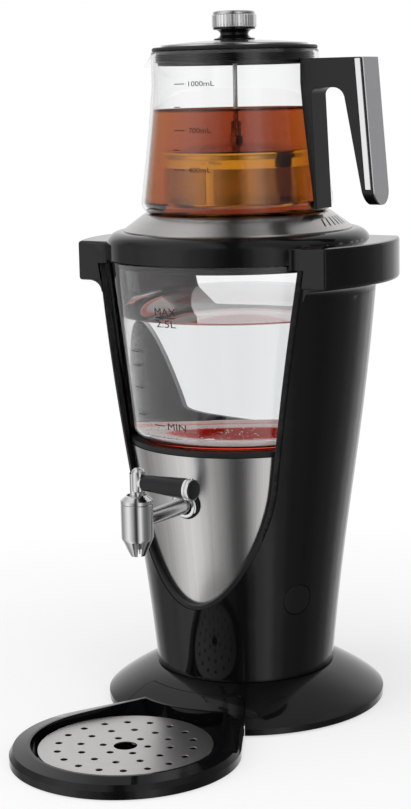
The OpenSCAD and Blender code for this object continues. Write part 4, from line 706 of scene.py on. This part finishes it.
class SAMOVAR_OT_camera(Operator):
    """Sets the camera at the angle from which the samovar was photographed"""

    bl_idname = "samovar.camera"
    bl_label = "Camera"

    def execute(self, context):
        heading = math.radians(CAMERA_TURN + CAMERA_YAW)
        pitch, roll = math.radians(CAMERA_PITCH), math.radians(CAMERA_ROLL)
        reach, drop = math.cos(pitch), math.sin(pitch)
        forward = Vector((-math.sin(heading) * reach, math.cos(heading) * reach, -drop))
        right = Vector((math.cos(heading), math.sin(heading), 0))
        up = right.cross(forward)
        side = right * math.cos(roll) + up * math.sin(roll)
        top = -right * math.sin(roll) + up * math.cos(roll)
        data = bpy.data.cameras.new("camera")
        data.lens = CAMERA_LENS
        data.sensor_width = SENSOR
        data.sensor_fit = "AUTO"
        data.clip_start, data.clip_end = 0.05, 50
        camera = link("camera", data)
        matrix = Matrix((side, top, -forward)).transposed().to_4x4()
        matrix.translation = at_turn(CAMERA_TURN, CAMERA_REACH, CAMERA_HEIGHT)
        camera.matrix_world = matrix
        context.scene.camera = camera
        return {"FINISHED"}


# What polished metal sees round the samovar: (turn in degrees from the front towards +X, brightness)
STUDIO_BANDS = (
    (-180, 0.95), (-128, 0.9), (-108, 0.5), (-92, 0.3), (-70, 0.48), (-50, 0.78), (-35, 1.0), (-22, 0.95),
    (-8, 0.6), (6, 0.38), (16, 0.14), (24, 0.045), (32, 0.05), (40, 0.3), (48, 0.72), (60, 0.95), (72, 0.45),
    (86, 0.2), (108, 0.14), (130, 0.2), (150, 0.34), (165, 0.7), (180, 0.95),
)
# The same overhead: the level direction along which it changes, and (place along that, brightness)
CEILING_ALONG = (0.855, 0.518)
CEILING_BANDS = (
    (-1, 1.0), (-0.7, 0.95), (-0.45, 0.84), (-0.27, 0.85), (-0.17, 0.42), (-0.11, 0.03), (-0.02, 0.04),
    (0.06, 0.4), (0.2, 0.52), (0.5, 0.5), (0.7, 0.7), (1, 0.85),
)


def seen_directly(tree):
    """1 for what the camera sees, also through glass, and 0 for the rest."""
    path = add_node(tree, "ShaderNodeLightPath").outputs
    return calculate(tree, "MAXIMUM", path["Is Camera Ray"], path["Is Transmission Ray"])


def make_world():
    """White for the camera and through glass, soft bands for metal, and an even light for the rest."""
    world = bpy.data.worlds.new("studio")
    bpy.context.scene.world = world
    world.use_nodes = True
    tree = world.node_tree
    tree.nodes.clear()
    x, y, z = split(tree, add_node(tree, "ShaderNodeTexCoord").outputs["Generated"])
    turn = calculate(tree, "ARCTAN2", x, times(tree, y, -1.0))
    stops = [(0.5 + degrees / 360.0, level) for degrees, level in STUDIO_BANDS]
    around = ramp(tree, plus(tree, times(tree, turn, 0.5 / math.pi), 0.5), stops, "EASE")
    along = plus(tree, times(tree, x, CEILING_ALONG[0]), times(tree, y, CEILING_ALONG[1]))
    stops = [(0.5 + 0.5 * place, level) for place, level in CEILING_BANDS]
    ceiling = ramp(tree, plus(tree, times(tree, along, 0.5), 0.5), stops, "EASE")
    bands = mixed(tree, times(tree, minus(tree, z, 0.5), 3.0, clamp=True), around, ceiling)

    def light(strength, tint=(1, 1, 1)):
        return add_node(tree, "ShaderNodeBackground", {"Strength": strength, "Color": tint}).outputs[0]

    def choose(mask, first, second):
        return add_node(tree, "ShaderNodeMixShader", {0: mask, 1: first, 2: second}).outputs[0]

    depth = add_node(tree, "ShaderNodeLightPath").outputs["Glossy Depth"]
    plain = choose(seen_directly(tree), light(0.55), light(1.0))
    result = choose(calculate(tree, "GREATER_THAN", depth, 0.5), plain, light(1.0, bands))
    add_node(tree, "ShaderNodeOutputWorld", {"Surface": result})


# The floor's own glow: its share near the samovar, from where it grows outwards, and by how much a metre
NEAR_GLOW, GLOW_START, GLOW_RISE = 0.6, 0.08, 2.2


def make_floor():
    """Pale floor whose far edge fades into the white background."""
    material, tree, shader = base_material("pale floor")
    feed(tree, shader, {"Base Color": (0.86, 0.86, 0.86), "Roughness": 0.9, "Specular IOR Level": 0.0})
    glow = add_node(tree, "ShaderNodeEmission", {"Color": (1, 1, 1)})
    far = times(tree, minus(tree, axis_distance(tree), GLOW_START), GLOW_RISE, clamp=True)
    share = plus(tree, times(tree, far, 1 - NEAR_GLOW), NEAR_GLOW)
    amount = times(tree, seen_directly(tree), share)
    mix = add_node(tree, "ShaderNodeMixShader", {0: amount, 1: shader.outputs[0], 2: glow.outputs[0]})
    feed(tree, tree.nodes["Material Output"], {"Surface": mix.outputs[0]})
    low, high, edge = -0.0012, -0.0002, 4.0
    floor = revolve("floor", [(0, low), (edge, low), (edge, high), (0, high)], 96)
    floor.data.materials.append(material)
    floor.visible_glossy = False


# What the lamps are aimed at
MIDDLE = Vector((0, 0, 0.22))


def add_lamp(name, turn, reach, height, size, power):
    """A soft area lamp aimed at the middle of the samovar."""
    data = bpy.data.lights.new(name, "AREA")
    data.shape = "RECTANGLE"
    data.size, data.size_y = size
    data.energy = power
    lamp = link(name, data)
    place = at_turn(turn, reach, height)
    aim = (MIDDLE - place).to_track_quat("-Z", "Y")
    lamp.matrix_world = Matrix.Translation(place) @ aim.to_matrix().to_4x4()
    lamp.visible_glossy = lamp.visible_transmission = lamp.visible_camera = False


class SAMOVAR_OT_stage(Operator):
    """Builds the pale floor, the white surroundings and the soft lamps"""

    bl_idname = "samovar.stage"
    bl_label = "Stage"

    def execute(self, context):
        context.scene.view_settings.view_transform = "Standard"
        make_world()
        make_floor()
        add_lamp("left softbox", -38, 1.6, 0.9, (0.9, 1.3), 9.0)
        add_lamp("right softbox", 66, 1.6, 0.8, (0.6, 1.3), 6.0)
        add_lamp("top softbox", 10, 0.5, 1.7, (1.2, 1.0), 9.0)
        return {"FINISHED"}


# Moulded and metal pieces


class SAMOVAR_OT_shells(Operator):
    """Finishes the moulded shells: housing, rear cover, base, cover ring, tray and button"""

    bl_idname = "samovar.shells"
    bl_label = "Moulded shells"

    def execute(self, context):
        for node in ("rear_cover", "base_skirt", "drip_tray"):
            finished_copy(node, "shell")
        for node in ("housing", "cover_ring"):
            finished_copy(node, "shell", reshape=round_lugs)
        finished_copy("power_button", "grip", 0.0007, segments=3)
        for node in ("panel_trim", "boiler_base"):
            finished_copy(node, "trim", 0.0003)
        dress_nodes("trim", "bottom_plate", "power_switch", "thermostat")
        return {"FINISHED"}


class SAMOVAR_OT_steelwork(Operator):
    """Finishes the panel, the steel ring, the drip plate and the lid plate"""

    bl_idname = "samovar.steelwork"
    bl_label = "Steelwork"

    def execute(self, context):
        finished_copy("front_panel", "panel", 0.0)
        finished_copy("stand_ring", "stand", 0.0003)
        finished_copy("drip_plate", "drip", 0.0002)
        finished_copy("lid_plate", "lid", 0.0003)
        return {"FINISHED"}


class SAMOVAR_OT_tap(Operator):
    """Finishes the tap: barrel, bonnet, flange, plug, lever and what holds them"""

    bl_idname = "samovar.tap"
    bl_label = "Tap"

    def execute(self, context):
        for node in ("tap_body", "tap_bonnet", "tap_flange", "tap_stem"):
            finished_copy(node, "chrome", 0.0002)
        finished_copy("lever_grip", "grip", 0.0002)
        finished_copy("lever_ring", "bright", 0.0001)
        finished_copy("lever_cap", "grip", 0.0002)
        dress_nodes("rubber", "tap_gasket")
        dress_nodes("silicone", "tap_washer")
        dress_nodes("brass", "tap_nut")
        return {"FINISHED"}


class SAMOVAR_OT_teapot(Operator):
    """Finishes the handle, the lid and the knob of the teapot"""

    bl_idname = "samovar.teapot"
    bl_label = "Teapot"

    def execute(self, context):
        finished_copy("teapot_handle", "grip", 0.0016, segments=4)
        finished_copy("handle_trim", "bright", 0.0003)
        finished_copy("handle_plate", "satin", 0.0004)
        finished_copy("lid_ring", "trim", 0.0003)
        dress_nodes("trim", "lid_gasket")
        finished_copy("knob_neck", "shell", 0.0002)
        self.fluted_ring()
        finished_copy("knob_cap", "cap", 0.0002)
        return {"FINISHED"}

    def fluted_ring(self):
        """The bright ring of the knob, with narrow grooves between its ribs."""
        low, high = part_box("knob_ring")
        radius, hole, ribs, depth, round_off = high.x, 0.010, 40, 0.0007, 0.0004
        profile = [(hole, low.z), (radius - round_off, low.z), (radius, low.z + round_off)]
        profile += [(radius, high.z - round_off), (radius - round_off, high.z), (hole, high.z)]
        ring = revolve("knob_ring_fluted", profile, ribs * 10, True)
        for vertex in ring.data.vertices:
            x, y, z = vertex.co
            reach = math.hypot(x, y)
            share = (math.atan2(y, x) / (2 * math.pi) * ribs) % 1
            groove = max(0.0, 1 - abs(share - 0.5) / 0.2)
            if reach > (radius + hole) / 2:
                vertex.co = Vector((x, y, 0)) * (1 - depth * groove / reach) + Vector((0, 0, z))
        paint(ring, "fluted", 30)
        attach(ring, "lid")
        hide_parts("knob_ring")


# Half width and height of the teapot's pouring lip, how far its tip is drawn out and down, and how suddenly
LIP_WIDE, LIP_HIGH, LIP_OUT, LIP_DOWN, LIP_CURVE = 0.021, 0.021, 0.0172, 0.0105, 2.2
# Radius of the hole in the floor of the boiler's glass
FLOOR_HOLE = 0.064


class SAMOVAR_OT_glassware(Operator):
    """Gives the boiler and the teapot their clear glass"""

    bl_idname = "samovar.glassware"
    bl_label = "Glass"

    def execute(self, context):
        self.boiler()
        self.teapot()
        return {"FINISHED"}

    def boiler(self):
        """A tapered tumbler with a round hole in its floor and a rounded rim."""
        lean = math.degrees(GLASS_LEAN)
        rim = GLASS_WALL / 2
        rim_at = (boiler_radius(GLASS_TOP - rim) - rim, GLASS_TOP - rim)
        profile = [(FLOOR_HOLE, GLASS_LOW)] + arc_points(GLASS_CORNER_AT, GLASS_CORNER, -90, -lean, 12)
        profile += arc_points(rim_at, rim, -lean, 180 - lean, 12)
        profile += arc_points(GLASS_CORNER_AT, GLASS_CORNER - GLASS_WALL, -90, -lean, 12)[::-1]
        profile.append((FLOOR_HOLE, GLASS_LOW + GLASS_WALL))
        glass = revolve("boiler_glass_clear", profile, 240, True)
        paint(glass, "glass")
        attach(glass, "boiler")
        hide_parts("boiler_glass")

    def teapot(self):
        """A rounded jug whose rim is drawn out and down into a pouring lip."""
        rim = POT_WALL / 2
        walls = [POT_SIDE + (POT_NECK - POT_SIDE) * i / 16 for i in range(17)]
        walls += [POT_NECK + (RIM_Z - rim - POT_NECK) * i / 10 for i in range(1, 11)]
        profile = [(0, STAND_Z)] + arc_points(POT_CORNER_AT, POT_CORNER, -90, 0, 10)[:-1]
        profile += [(pot_radius(z), z) for z in walls]
        profile += arc_points((pot_radius(RIM_Z) - rim, RIM_Z - rim), rim, 0, 180, 8)[1:-1]
        profile += [(pot_radius(z) - POT_WALL, z) for z in walls[::-1]]
        profile += arc_points(POT_CORNER_AT, POT_CORNER - POT_WALL, -90, 0, 10)[:-1][::-1]
        profile.append((0, STAND_Z + POT_WALL))
        glass = revolve("teapot_glass_clear", profile, 240)
        low = RIM_Z - LIP_HIGH
        for vertex in glass.data.vertices:
            x, y, z = vertex.co
            if z < low or x > 0:
                continue
            radius = math.hypot(x, y)
            aside = abs(math.atan2(y, -x)) * radius / LIP_WIDE
            if aside > 1:
                continue
            draw = (0.5 + 0.5 * math.cos(math.pi * aside)) * ((z - low) / LIP_HIGH) ** LIP_CURVE
            vertex.co.x = x * (1 + LIP_OUT * draw / radius)
            vertex.co.y = y * (1 + LIP_OUT * draw / radius)
            vertex.co.z = z - LIP_DOWN * draw
        paint(glass, "glass")
        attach(glass, "teapot")
        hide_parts("teapot_glass")


class SAMOVAR_OT_inner(Operator):
    """Finishes what lies inside and underneath: heater, leads, board, hose, seals, screws and feet"""

    bl_idname = "samovar.inner"
    bl_label = "Inner pieces"

    def execute(self, context):
        dress_nodes("rubber", "foot_ring", "tray_feet", "cord_gland", "cover_seal")
        dress_nodes("screws", "base_screws", "body_screws", "cover_screws", "hose_clamps")
        dress_nodes("silicone", "bottom_seal", "outlet_hose")
        # The heater plate takes the floor finish, with painted red light in its colour and its glow
        dress_nodes("floor", "heater_plate")
        dress_nodes("cast", "heating_element")
        dress_nodes("lamp", "light_ring")
        dress_nodes("leads", "heater_leads")
        dress_nodes("board", "control_board")
        return {"FINISHED"}


# Liquids


class SAMOVAR_OT_liquids(Operator):
    """Fills the boiler with water and the teapot with tea"""

    bl_idname = "samovar.liquids"
    bl_label = "Water and tea"

    def execute(self, context):
        self.water(sizes().water_level, sizes().film)
        self.tea(sizes().tea_level, sizes().film)
        return {"FINISHED"}

    def water(self, level, gap):
        """Water, whose underside follows the floor, its raised rim and the groove outside that."""
        low, over = FLOOR_TOP - gap, FLOOR_TOP + 0.0021
        rim_in, rim_out = FLOOR_RADIUS - 0.0011, FLOOR_RADIUS + 0.0013
        profile = [(0, low), (rim_in, low), (rim_in, over), (FLOOR_RADIUS + 0.0002, over)]
        profile += [(rim_out, FLOOR_TOP - 0.0008), (rim_out + 0.0001, GLASS_LOW + GLASS_WALL + gap)]
        corner = GLASS_CORNER - GLASS_WALL - gap
        profile += arc_points(GLASS_CORNER_AT, corner, -80, -math.degrees(GLASS_LEAN), 8)
        heights = (GLASS_SIDE + 0.03, GLASS_SIDE + 0.055, level - 0.004)
        inset = GLASS_WALL / math.cos(GLASS_LEAN) + gap
        profile += self.upper_part(boiler_radius, inset, heights, level, 0.0016, (0.0009, 0.0005, 0.0024))
        water = revolve("boiler_water", profile, 160)
        paint(water, "water")
        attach(water, "boiler")

    def tea(self, level, gap):
        """Tea, which rounds the corner of the teapot's glass."""
        profile = [(0, STAND_Z + POT_WALL + gap)]
        profile += arc_points(POT_CORNER_AT, POT_CORNER - POT_WALL - gap, -90, 0, 6)
        heights = [STAND_Z + rise for rise in (0.018, 0.028, 0.039, 0.05, 0.06)] + [level - 0.003]
        inset = POT_WALL + gap
        profile += self.upper_part(pot_radius, inset, heights, level, 0.0014, (0.0008, 0.0004, 0.0022))
        tea = revolve("pot_tea", profile, 144)
        paint(tea, "tea")
        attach(tea, "teapot")

    def upper_part(self, outside, inset, heights, level, climb, bend):
        """A liquid's sides, inset from the outside of its glass, and its surface, which climbs the glass.

        Bend is where the surface bends: how far inwards and how high. Its last number is where it is level.
        """
        top, edge = level + climb, outside(level) - inset
        points = [(outside(z) - inset, z) for z in (*heights, top)]
        points.append((points[-1][0] - 0.0003, top))
        return points + [(edge - bend[0], level + bend[1]), (edge - bend[2], level), (0, level)]


# Geometry Nodes


def geometry_tree(name, inputs):
    """An empty Geometry Nodes tree. Returns it, its ends, and the identifiers of its inputs by name."""
    tree = bpy.data.node_groups.new(name, "GeometryNodeTree")
    new_socket(tree, "Geometry", "Geometry")
    ids = {label: new_socket(tree, label, kind).identifier for label, kind in inputs.items()}
    new_socket(tree, "Geometry", "Geometry", "OUTPUT")
    return tree, tree.nodes.new("NodeGroupInput").outputs, tree.nodes.new("NodeGroupOutput"), ids


def put_out(tree, scatter, material, result):
    """Makes instances real, gives them their material and puts them out."""
    real = add_node(tree, "GeometryNodeRealizeInstances", {0: scatter.outputs[0]}).outputs[0]
    coat = add_node(tree, "GeometryNodeSetMaterial", {"Geometry": real, "Material": material})
    feed(tree, result, {0: coat.outputs[0]})


def grow(obj, tree, ids, values):
    """Sets a tree's inputs on an object and keeps the result as the object's mesh."""
    modifier = obj.modifiers.new(tree.name, "NODES")
    modifier.node_group = tree
    for label, value in values.items():
        modifier[ids[label]] = value
    apply_modifiers(obj)


def bubble_tree():
    """Small round bubbles scattered over a disc."""
    inputs = dict.fromkeys(("Density", "Smallest", "Largest"), "Float")
    inputs.update({"Seed": "Int", "Material": "Material"})
    tree, source, result, ids = geometry_tree("bubbles", inputs)
    faces = {"Mesh": source["Geometry"], "Density": source["Density"], "Seed": source["Seed"]}
    points = add_node(tree, "GeometryNodeDistributePointsOnFaces", faces).outputs["Points"]
    ball = add_node(tree, "GeometryNodeMeshIcoSphere", {"Radius": 1.0, "Subdivisions": 2}).outputs["Mesh"]
    size = add_node(tree, "FunctionNodeRandomValue", {2: source["Smallest"], 3: source["Largest"]}).outputs[1]
    inputs = {"Points": points, "Instance": ball, "Scale": size}
    put_out(tree, add_node(tree, "GeometryNodeInstanceOnPoints", inputs), source["Material"], result)
    return tree, ids


def sieve_tree():
    """Pierced cells set out in staggered rows round a cylinder."""
    inputs = dict.fromkeys(("Radius", "Low", "Row Height", "Start", "Step"), "Float")
    inputs.update({"Columns": "Int", "Rows": "Int", "Cell": "Object", "Material": "Material"})
    tree, source, result, ids = geometry_tree("pierced wall", inputs)
    columns, radius = source["Columns"], source["Radius"]
    line = add_node(tree, "GeometryNodeMeshLine", {"Count": times(tree, columns, source["Rows"])}).outputs[0]
    index = add_node(tree, "GeometryNodeInputIndex").outputs[0]
    row = calculate(tree, "FLOOR", calculate(tree, "DIVIDE", plus(tree, index, 0.5), columns))
    column = minus(tree, index, times(tree, row, columns))
    stagger = times(tree, calculate(tree, "MODULO", row, 2.0), 0.5)
    angle = plus(tree, source["Start"], times(tree, plus(tree, column, stagger), source["Step"]))
    place = add_node(tree, "ShaderNodeCombineXYZ", {
        0: times(tree, radius, calculate(tree, "SINE", angle)),
        1: times(tree, times(tree, radius, calculate(tree, "COSINE", angle)), -1.0),
        2: plus(tree, source["Low"], times(tree, plus(tree, row, 0.5), source["Row Height"])),
    })
    inputs = {"Geometry": line, "Position": place.outputs[0]}
    points = add_node(tree, "GeometryNodeSetPosition", inputs).outputs[0]
    cell = add_node(tree, "GeometryNodeObjectInfo", {"Object": source["Cell"]}).outputs["Geometry"]
    turn = add_node(tree, "ShaderNodeCombineXYZ", {2: angle}).outputs[0]
    inputs = {"Points": points, "Instance": cell, "Rotation": turn}
    put_out(tree, add_node(tree, "GeometryNodeInstanceOnPoints", inputs), source["Material"], result)
    return tree, ids


class SAMOVAR_OT_bubbles(Operator):
    """Scatters the first bubbles over the floor of the boiler"""

    bl_idname = "samovar.bubbles"
    bl_label = "Bubbles"

    def execute(self, context):
        radius, lift = 0.0655, 0.0007
        work = bmesh.new()
        bmesh.ops.create_circle(work, cap_ends=True, radius=radius, segments=48)
        bmesh.ops.triangulate(work, faces=work.faces)
        bmesh.ops.translate(work, vec=Vector((0, 0, FLOOR_TOP + lift)), verts=work.verts)
        bubbles = link("boiler_bubbles", mesh_from(work, "boiler_bubbles"))
        tree, ids = bubble_tree()
        grow(bubbles, tree, ids, {
            "Density": sizes().bubbles / (math.pi * radius**2), "Seed": 7,
            "Smallest": 0.00022, "Largest": 0.00062, "Material": finish_of("bubble"),
        })
        bubbles.data.shade_smooth()
        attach(bubbles, "boiler")
        return {"FINISHED"}


# Printed marks

# Thickness of the ink
INK = 0.00003
# Height of a capital by the size of the lettering, and how much bolder strokes are made by their height
CAPITAL, BOLDER = 0.73, 0.0014


def wrapped(mesh, radius_at, turn, z, lift):
    """Wraps a flat mesh, drawn in X and Y, round the glass: X runs towards +X of the front, Y is height."""
    for vertex in mesh.vertices:
        height = z + vertex.co.y
        radius = radius_at(height) + lift + vertex.co.z
        angle = math.radians(turn) + vertex.co.x / radius
        vertex.co = Vector((radius * math.sin(angle), -radius * math.cos(angle), height))


def text_mesh(text, height, wide):
    """Lettering of a height and a width, centred on both."""
    curve = bpy.data.curves.new("lettering", "FONT")
    curve.body = text
    curve.size = height / CAPITAL
    curve.extrude = INK
    curve.offset = BOLDER * height
    curve.resolution_u = 3
    curve.align_x, curve.align_y = "CENTER", "CENTER"
    holder = link("lettering", curve)
    bpy.context.view_layer.update()
    mesh = bpy.data.meshes.new_from_object(holder)
    bpy.data.objects.remove(holder)
    bpy.data.curves.remove(curve)
    across, up = [v.co.x for v in mesh.vertices], [v.co.y for v in mesh.vertices]
    middle, centre = (min(across) + max(across)) / 2, (min(up) + max(up)) / 2
    stretch = wide / (max(across) - min(across))
    for vertex in mesh.vertices:
        vertex.co.x = (vertex.co.x - middle) * stretch
        vertex.co.y -= centre
    return mesh


def bar(name, sections):
    """A closed bar through sections of four points each."""
    work = bmesh.new()
    rings = [[work.verts.new(point) for point in section] for section in sections]
    for ring, following in zip(rings, rings[1:]):
        for i in range(4):
            j = (i + 1) % 4
            work.faces.new([ring[i], following[i], following[j], ring[j]])
    work.faces.new(rings[0])
    work.faces.new(rings[-1][::-1])
    bmesh.ops.recalc_face_normals(work, faces=work.faces)
    return mesh_from(work, name)


def dash_mesh(wide, thick):
    """A short printed line, in steps so that it follows the glass."""
    corners = ((-0.5, 0), (-0.5, INK), (0.5, INK), (0.5, 0))
    places = [wide * (i / 8 - 0.5) for i in range(9)]
    return bar("dash", [[(x, thick * y, z) for y, z in corners] for x in places])


# Marks: (words or None for a line, width, height, turn, z)
BOILER_MARKS = (
    ("MAX", 0.0178, 0.0056, -3.2, 0.2958),
    (None, 0.0164, 0.0007, -3.4, 0.2919),
    ("2.5L", 0.0166, 0.0053, -3.2, 0.2875),
    ("MIN", 0.0153, 0.0051, -1.8, 0.2144),
    (None, 0.0105, 0.0007, -12.6, 0.2144),
)
BOILER_TICKS = tuple((None, 0.0105, 0.0006, -26.0, z) for z in (0.2655, 0.2555, 0.2395, 0.22))
POT_MARKS = (
    ("1000mL", 0.0193, 0.0036, 8.0, 0.4496),
    (None, 0.0093, 0.0006, -9.0, 0.4496),
    (None, 0.0056, 0.0006, -10.2, 0.4339),
    ("700mL", 0.0166, 0.0036, 7.6, 0.4181),
    (None, 0.0093, 0.0006, -7.4, 0.4181),
    (None, 0.0056, 0.0006, -9.0, 0.4048),
    ("400mL", 0.0166, 0.0036, 8.3, 0.3914),
    (None, 0.0093, 0.0006, -5.8, 0.3914),
)


class SAMOVAR_OT_marks(Operator):
    """Prints the level marks on the boiler and on the teapot"""

    bl_idname = "samovar.marks"
    bl_label = "Level marks"

    def execute(self, context):
        for name, marks, radius_at, body in (
            ("boiler_marks", BOILER_MARKS + BOILER_TICKS, boiler_radius, "boiler"),
            ("teapot_marks", POT_MARKS, pot_radius, "teapot"),
        ):
            work = bmesh.new()
            for words, wide, high, turn, z in marks:
                mesh = text_mesh(words, high, wide) if words else dash_mesh(wide, high)
                wrapped(mesh, radius_at, turn, z, sizes().ink_lift)
                work.from_mesh(mesh)
                bpy.data.meshes.remove(mesh)
            marks_obj = link(name, mesh_from(work, name))
            paint(marks_obj, "ink", None)
            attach(marks_obj, body)
        return {"FINISHED"}


# Infuser

# Radius and wall of the basket, radius of its foot, and the heights above it where the sieve begins and ends
SIEVE_RADIUS, SIEVE_WALL, SIEVE_FOOT = 0.0469, 0.0006, 0.046
SIEVE_LOW, SIEVE_HIGH = 0.0028, 0.0270
# Radius of a hole and distance of its rows, by the distance between holes
SIEVE_HOLE, SIEVE_ROW = 0.3, 0.87
# Turn and width, in radians, of the plain strip where the sieve's ends are welded
SEAM_TURN, SEAM_WIDTH = math.radians(8.4), 0.11
# How much larger a cell is than its place, so that cells meet
CELL_LAP = 1.01


def pierced_cell(wide, high, hole, sides=8):
    """A flat cell with a round hole, in the plane that faces -Y."""
    work = bmesh.new()
    rim, edge = [], []
    for i in range(sides):
        angle = 2 * math.pi * (i + 0.5) / sides
        c, s = math.cos(angle), math.sin(angle)
        reach = 0.5 / max(abs(c), abs(s))
        rim.append(work.verts.new((hole * c, 0, hole * s)))
        edge.append(work.verts.new((wide * reach * c, 0, high * reach * s)))
    for i in range(sides):
        j = (i + 1) % sides
        work.faces.new([rim[i], rim[j], edge[j], edge[i]][::-1])
    return link("pierced cell", mesh_from(work, "pierced cell"))


class SAMOVAR_OT_infuser(Operator):
    """Builds the pierced infuser basket and finishes its cap and rod"""

    bl_idname = "samovar.infuser"
    bl_label = "Infuser"

    def execute(self, context):
        bottom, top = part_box("infuser_basket")[0].z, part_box("infuser_basket")[1].z
        low, high = bottom + SIEVE_LOW, bottom + SIEVE_HIGH
        radius, wall, foot = SIEVE_RADIUS, SIEVE_WALL, SIEVE_FOOT
        holder = self.sieve(low, high)
        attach(holder, "basket")
        profile = [(0, bottom), (foot - 0.003, bottom), (foot - 0.0009, bottom + 0.0009)]
        profile += [(foot, bottom + 0.0026), (radius, low), (radius - wall, low)]
        profile += [(foot - 0.0012, bottom + 0.003), (foot - 0.0016, bottom + 0.0016)]
        profile += [(foot - 0.0034, bottom + 0.001), (0, bottom + 0.001)]
        dish = revolve("infuser_dish", profile, 128)
        profile = [(radius, high), (radius + 0.0001, high + 0.0004), (radius + 0.0001, top)]
        profile += [(radius - wall, top), (radius - wall, high)]
        collar = revolve("infuser_collar", profile, 128, True)
        for piece in (dish, collar):
            paint(piece, "sieve")
            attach(piece, "basket")
        self.seam_strip(low - 0.0002, high + 0.0002)
        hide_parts("infuser_basket")
        finished_copy("infuser_cap", "sieve", 0.0002)
        for node in ("infuser_rod", "rod_sleeve", "rod_collar"):
            finished_copy(node, "spun", 0.0001)
        return {"FINISHED"}

    def sieve(self, low, high):
        """The pierced wall, from its lower to its upper end."""
        pitch = sizes().mesh_pitch
        turn = 2 * math.pi - SEAM_WIDTH
        columns = int(turn * SIEVE_RADIUS / pitch)
        step = turn / columns
        rows = int((high - low) / (pitch * SIEVE_ROW))
        row_height = (high - low) / rows
        cell = pierced_cell(step * SIEVE_RADIUS * CELL_LAP, row_height * CELL_LAP, pitch * SIEVE_HOLE)
        holder = link("infuser_sieve", bpy.data.meshes.new("infuser_sieve"))
        tree, ids = sieve_tree()
        grow(holder, tree, ids, {
            "Radius": SIEVE_RADIUS, "Low": low, "Row Height": row_height, "Columns": columns, "Rows": rows,
            "Start": SEAM_TURN + SEAM_WIDTH / 2, "Step": step, "Cell": cell, "Material": finish_of("sieve"),
        })
        bpy.data.objects.remove(cell)
        holder.data.shade_smooth()
        holder.data.set_sharp_from_angle(angle=math.radians(60))
        return holder

    def seam_strip(self, low, high):
        """Plain strip where the sieve's ends are welded, a little wider than the gap between them."""
        outer, inner = SIEVE_RADIUS + 0.0001, SIEVE_RADIUS - 0.0003
        corners = ((outer, low), (outer, high), (inner, high), (inner, low))
        turns = [math.degrees(SEAM_TURN + SEAM_WIDTH * 0.52 * (i / 3 - 1)) for i in range(7)]
        sections = [[at_turn(turn, reach, z) for reach, z in corners] for turn in turns]
        weld = link("infuser_weld", bar("infuser_weld", sections))
        paint(weld, "sieve")
        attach(weld, "basket")


# Panel, registration and main

STEPS = (
    SAMOVAR_OT_camera, SAMOVAR_OT_stage, SAMOVAR_OT_shells, SAMOVAR_OT_steelwork, SAMOVAR_OT_tap,
    SAMOVAR_OT_teapot, SAMOVAR_OT_glassware, SAMOVAR_OT_inner, SAMOVAR_OT_infuser, SAMOVAR_OT_liquids,
    SAMOVAR_OT_bubbles, SAMOVAR_OT_marks,
)


class SAMOVAR_PT_panel(Panel):
    """Sizes, colours and steps of the samovar"""

    bl_idname = "SAMOVAR_PT_panel"
    bl_label = "Samovar"
    bl_space_type = "VIEW_3D"
    bl_region_type = "UI"
    bl_category = "Samovar"

    def draw(self, context):
        for group in (context.scene.samovar_sizes, context.scene.samovar_finishes):
            box = self.layout.box()
            for name in group.__annotations__:
                box.prop(group, name)
        for step in STEPS:
            self.layout.operator(step.bl_idname)


CLASSES = (SamovarFinishes, SamovarSizes, *STEPS, SAMOVAR_PT_panel)


def register():
    for item in CLASSES:
        bpy.utils.register_class(item)
    bpy.types.Scene.samovar_finishes = PointerProperty(type=SamovarFinishes)
    bpy.types.Scene.samovar_sizes = PointerProperty(type=SamovarSizes)


def unregister():
    del bpy.types.Scene.samovar_sizes
    del bpy.types.Scene.samovar_finishes
    for item in reversed(CLASSES):
        bpy.utils.unregister_class(item)


def main():
    register()
    for step in STEPS:
        name = step.bl_idname.split(".")[1]
        getattr(bpy.ops.samovar, name)()


if __name__ == "__main__":
    main()
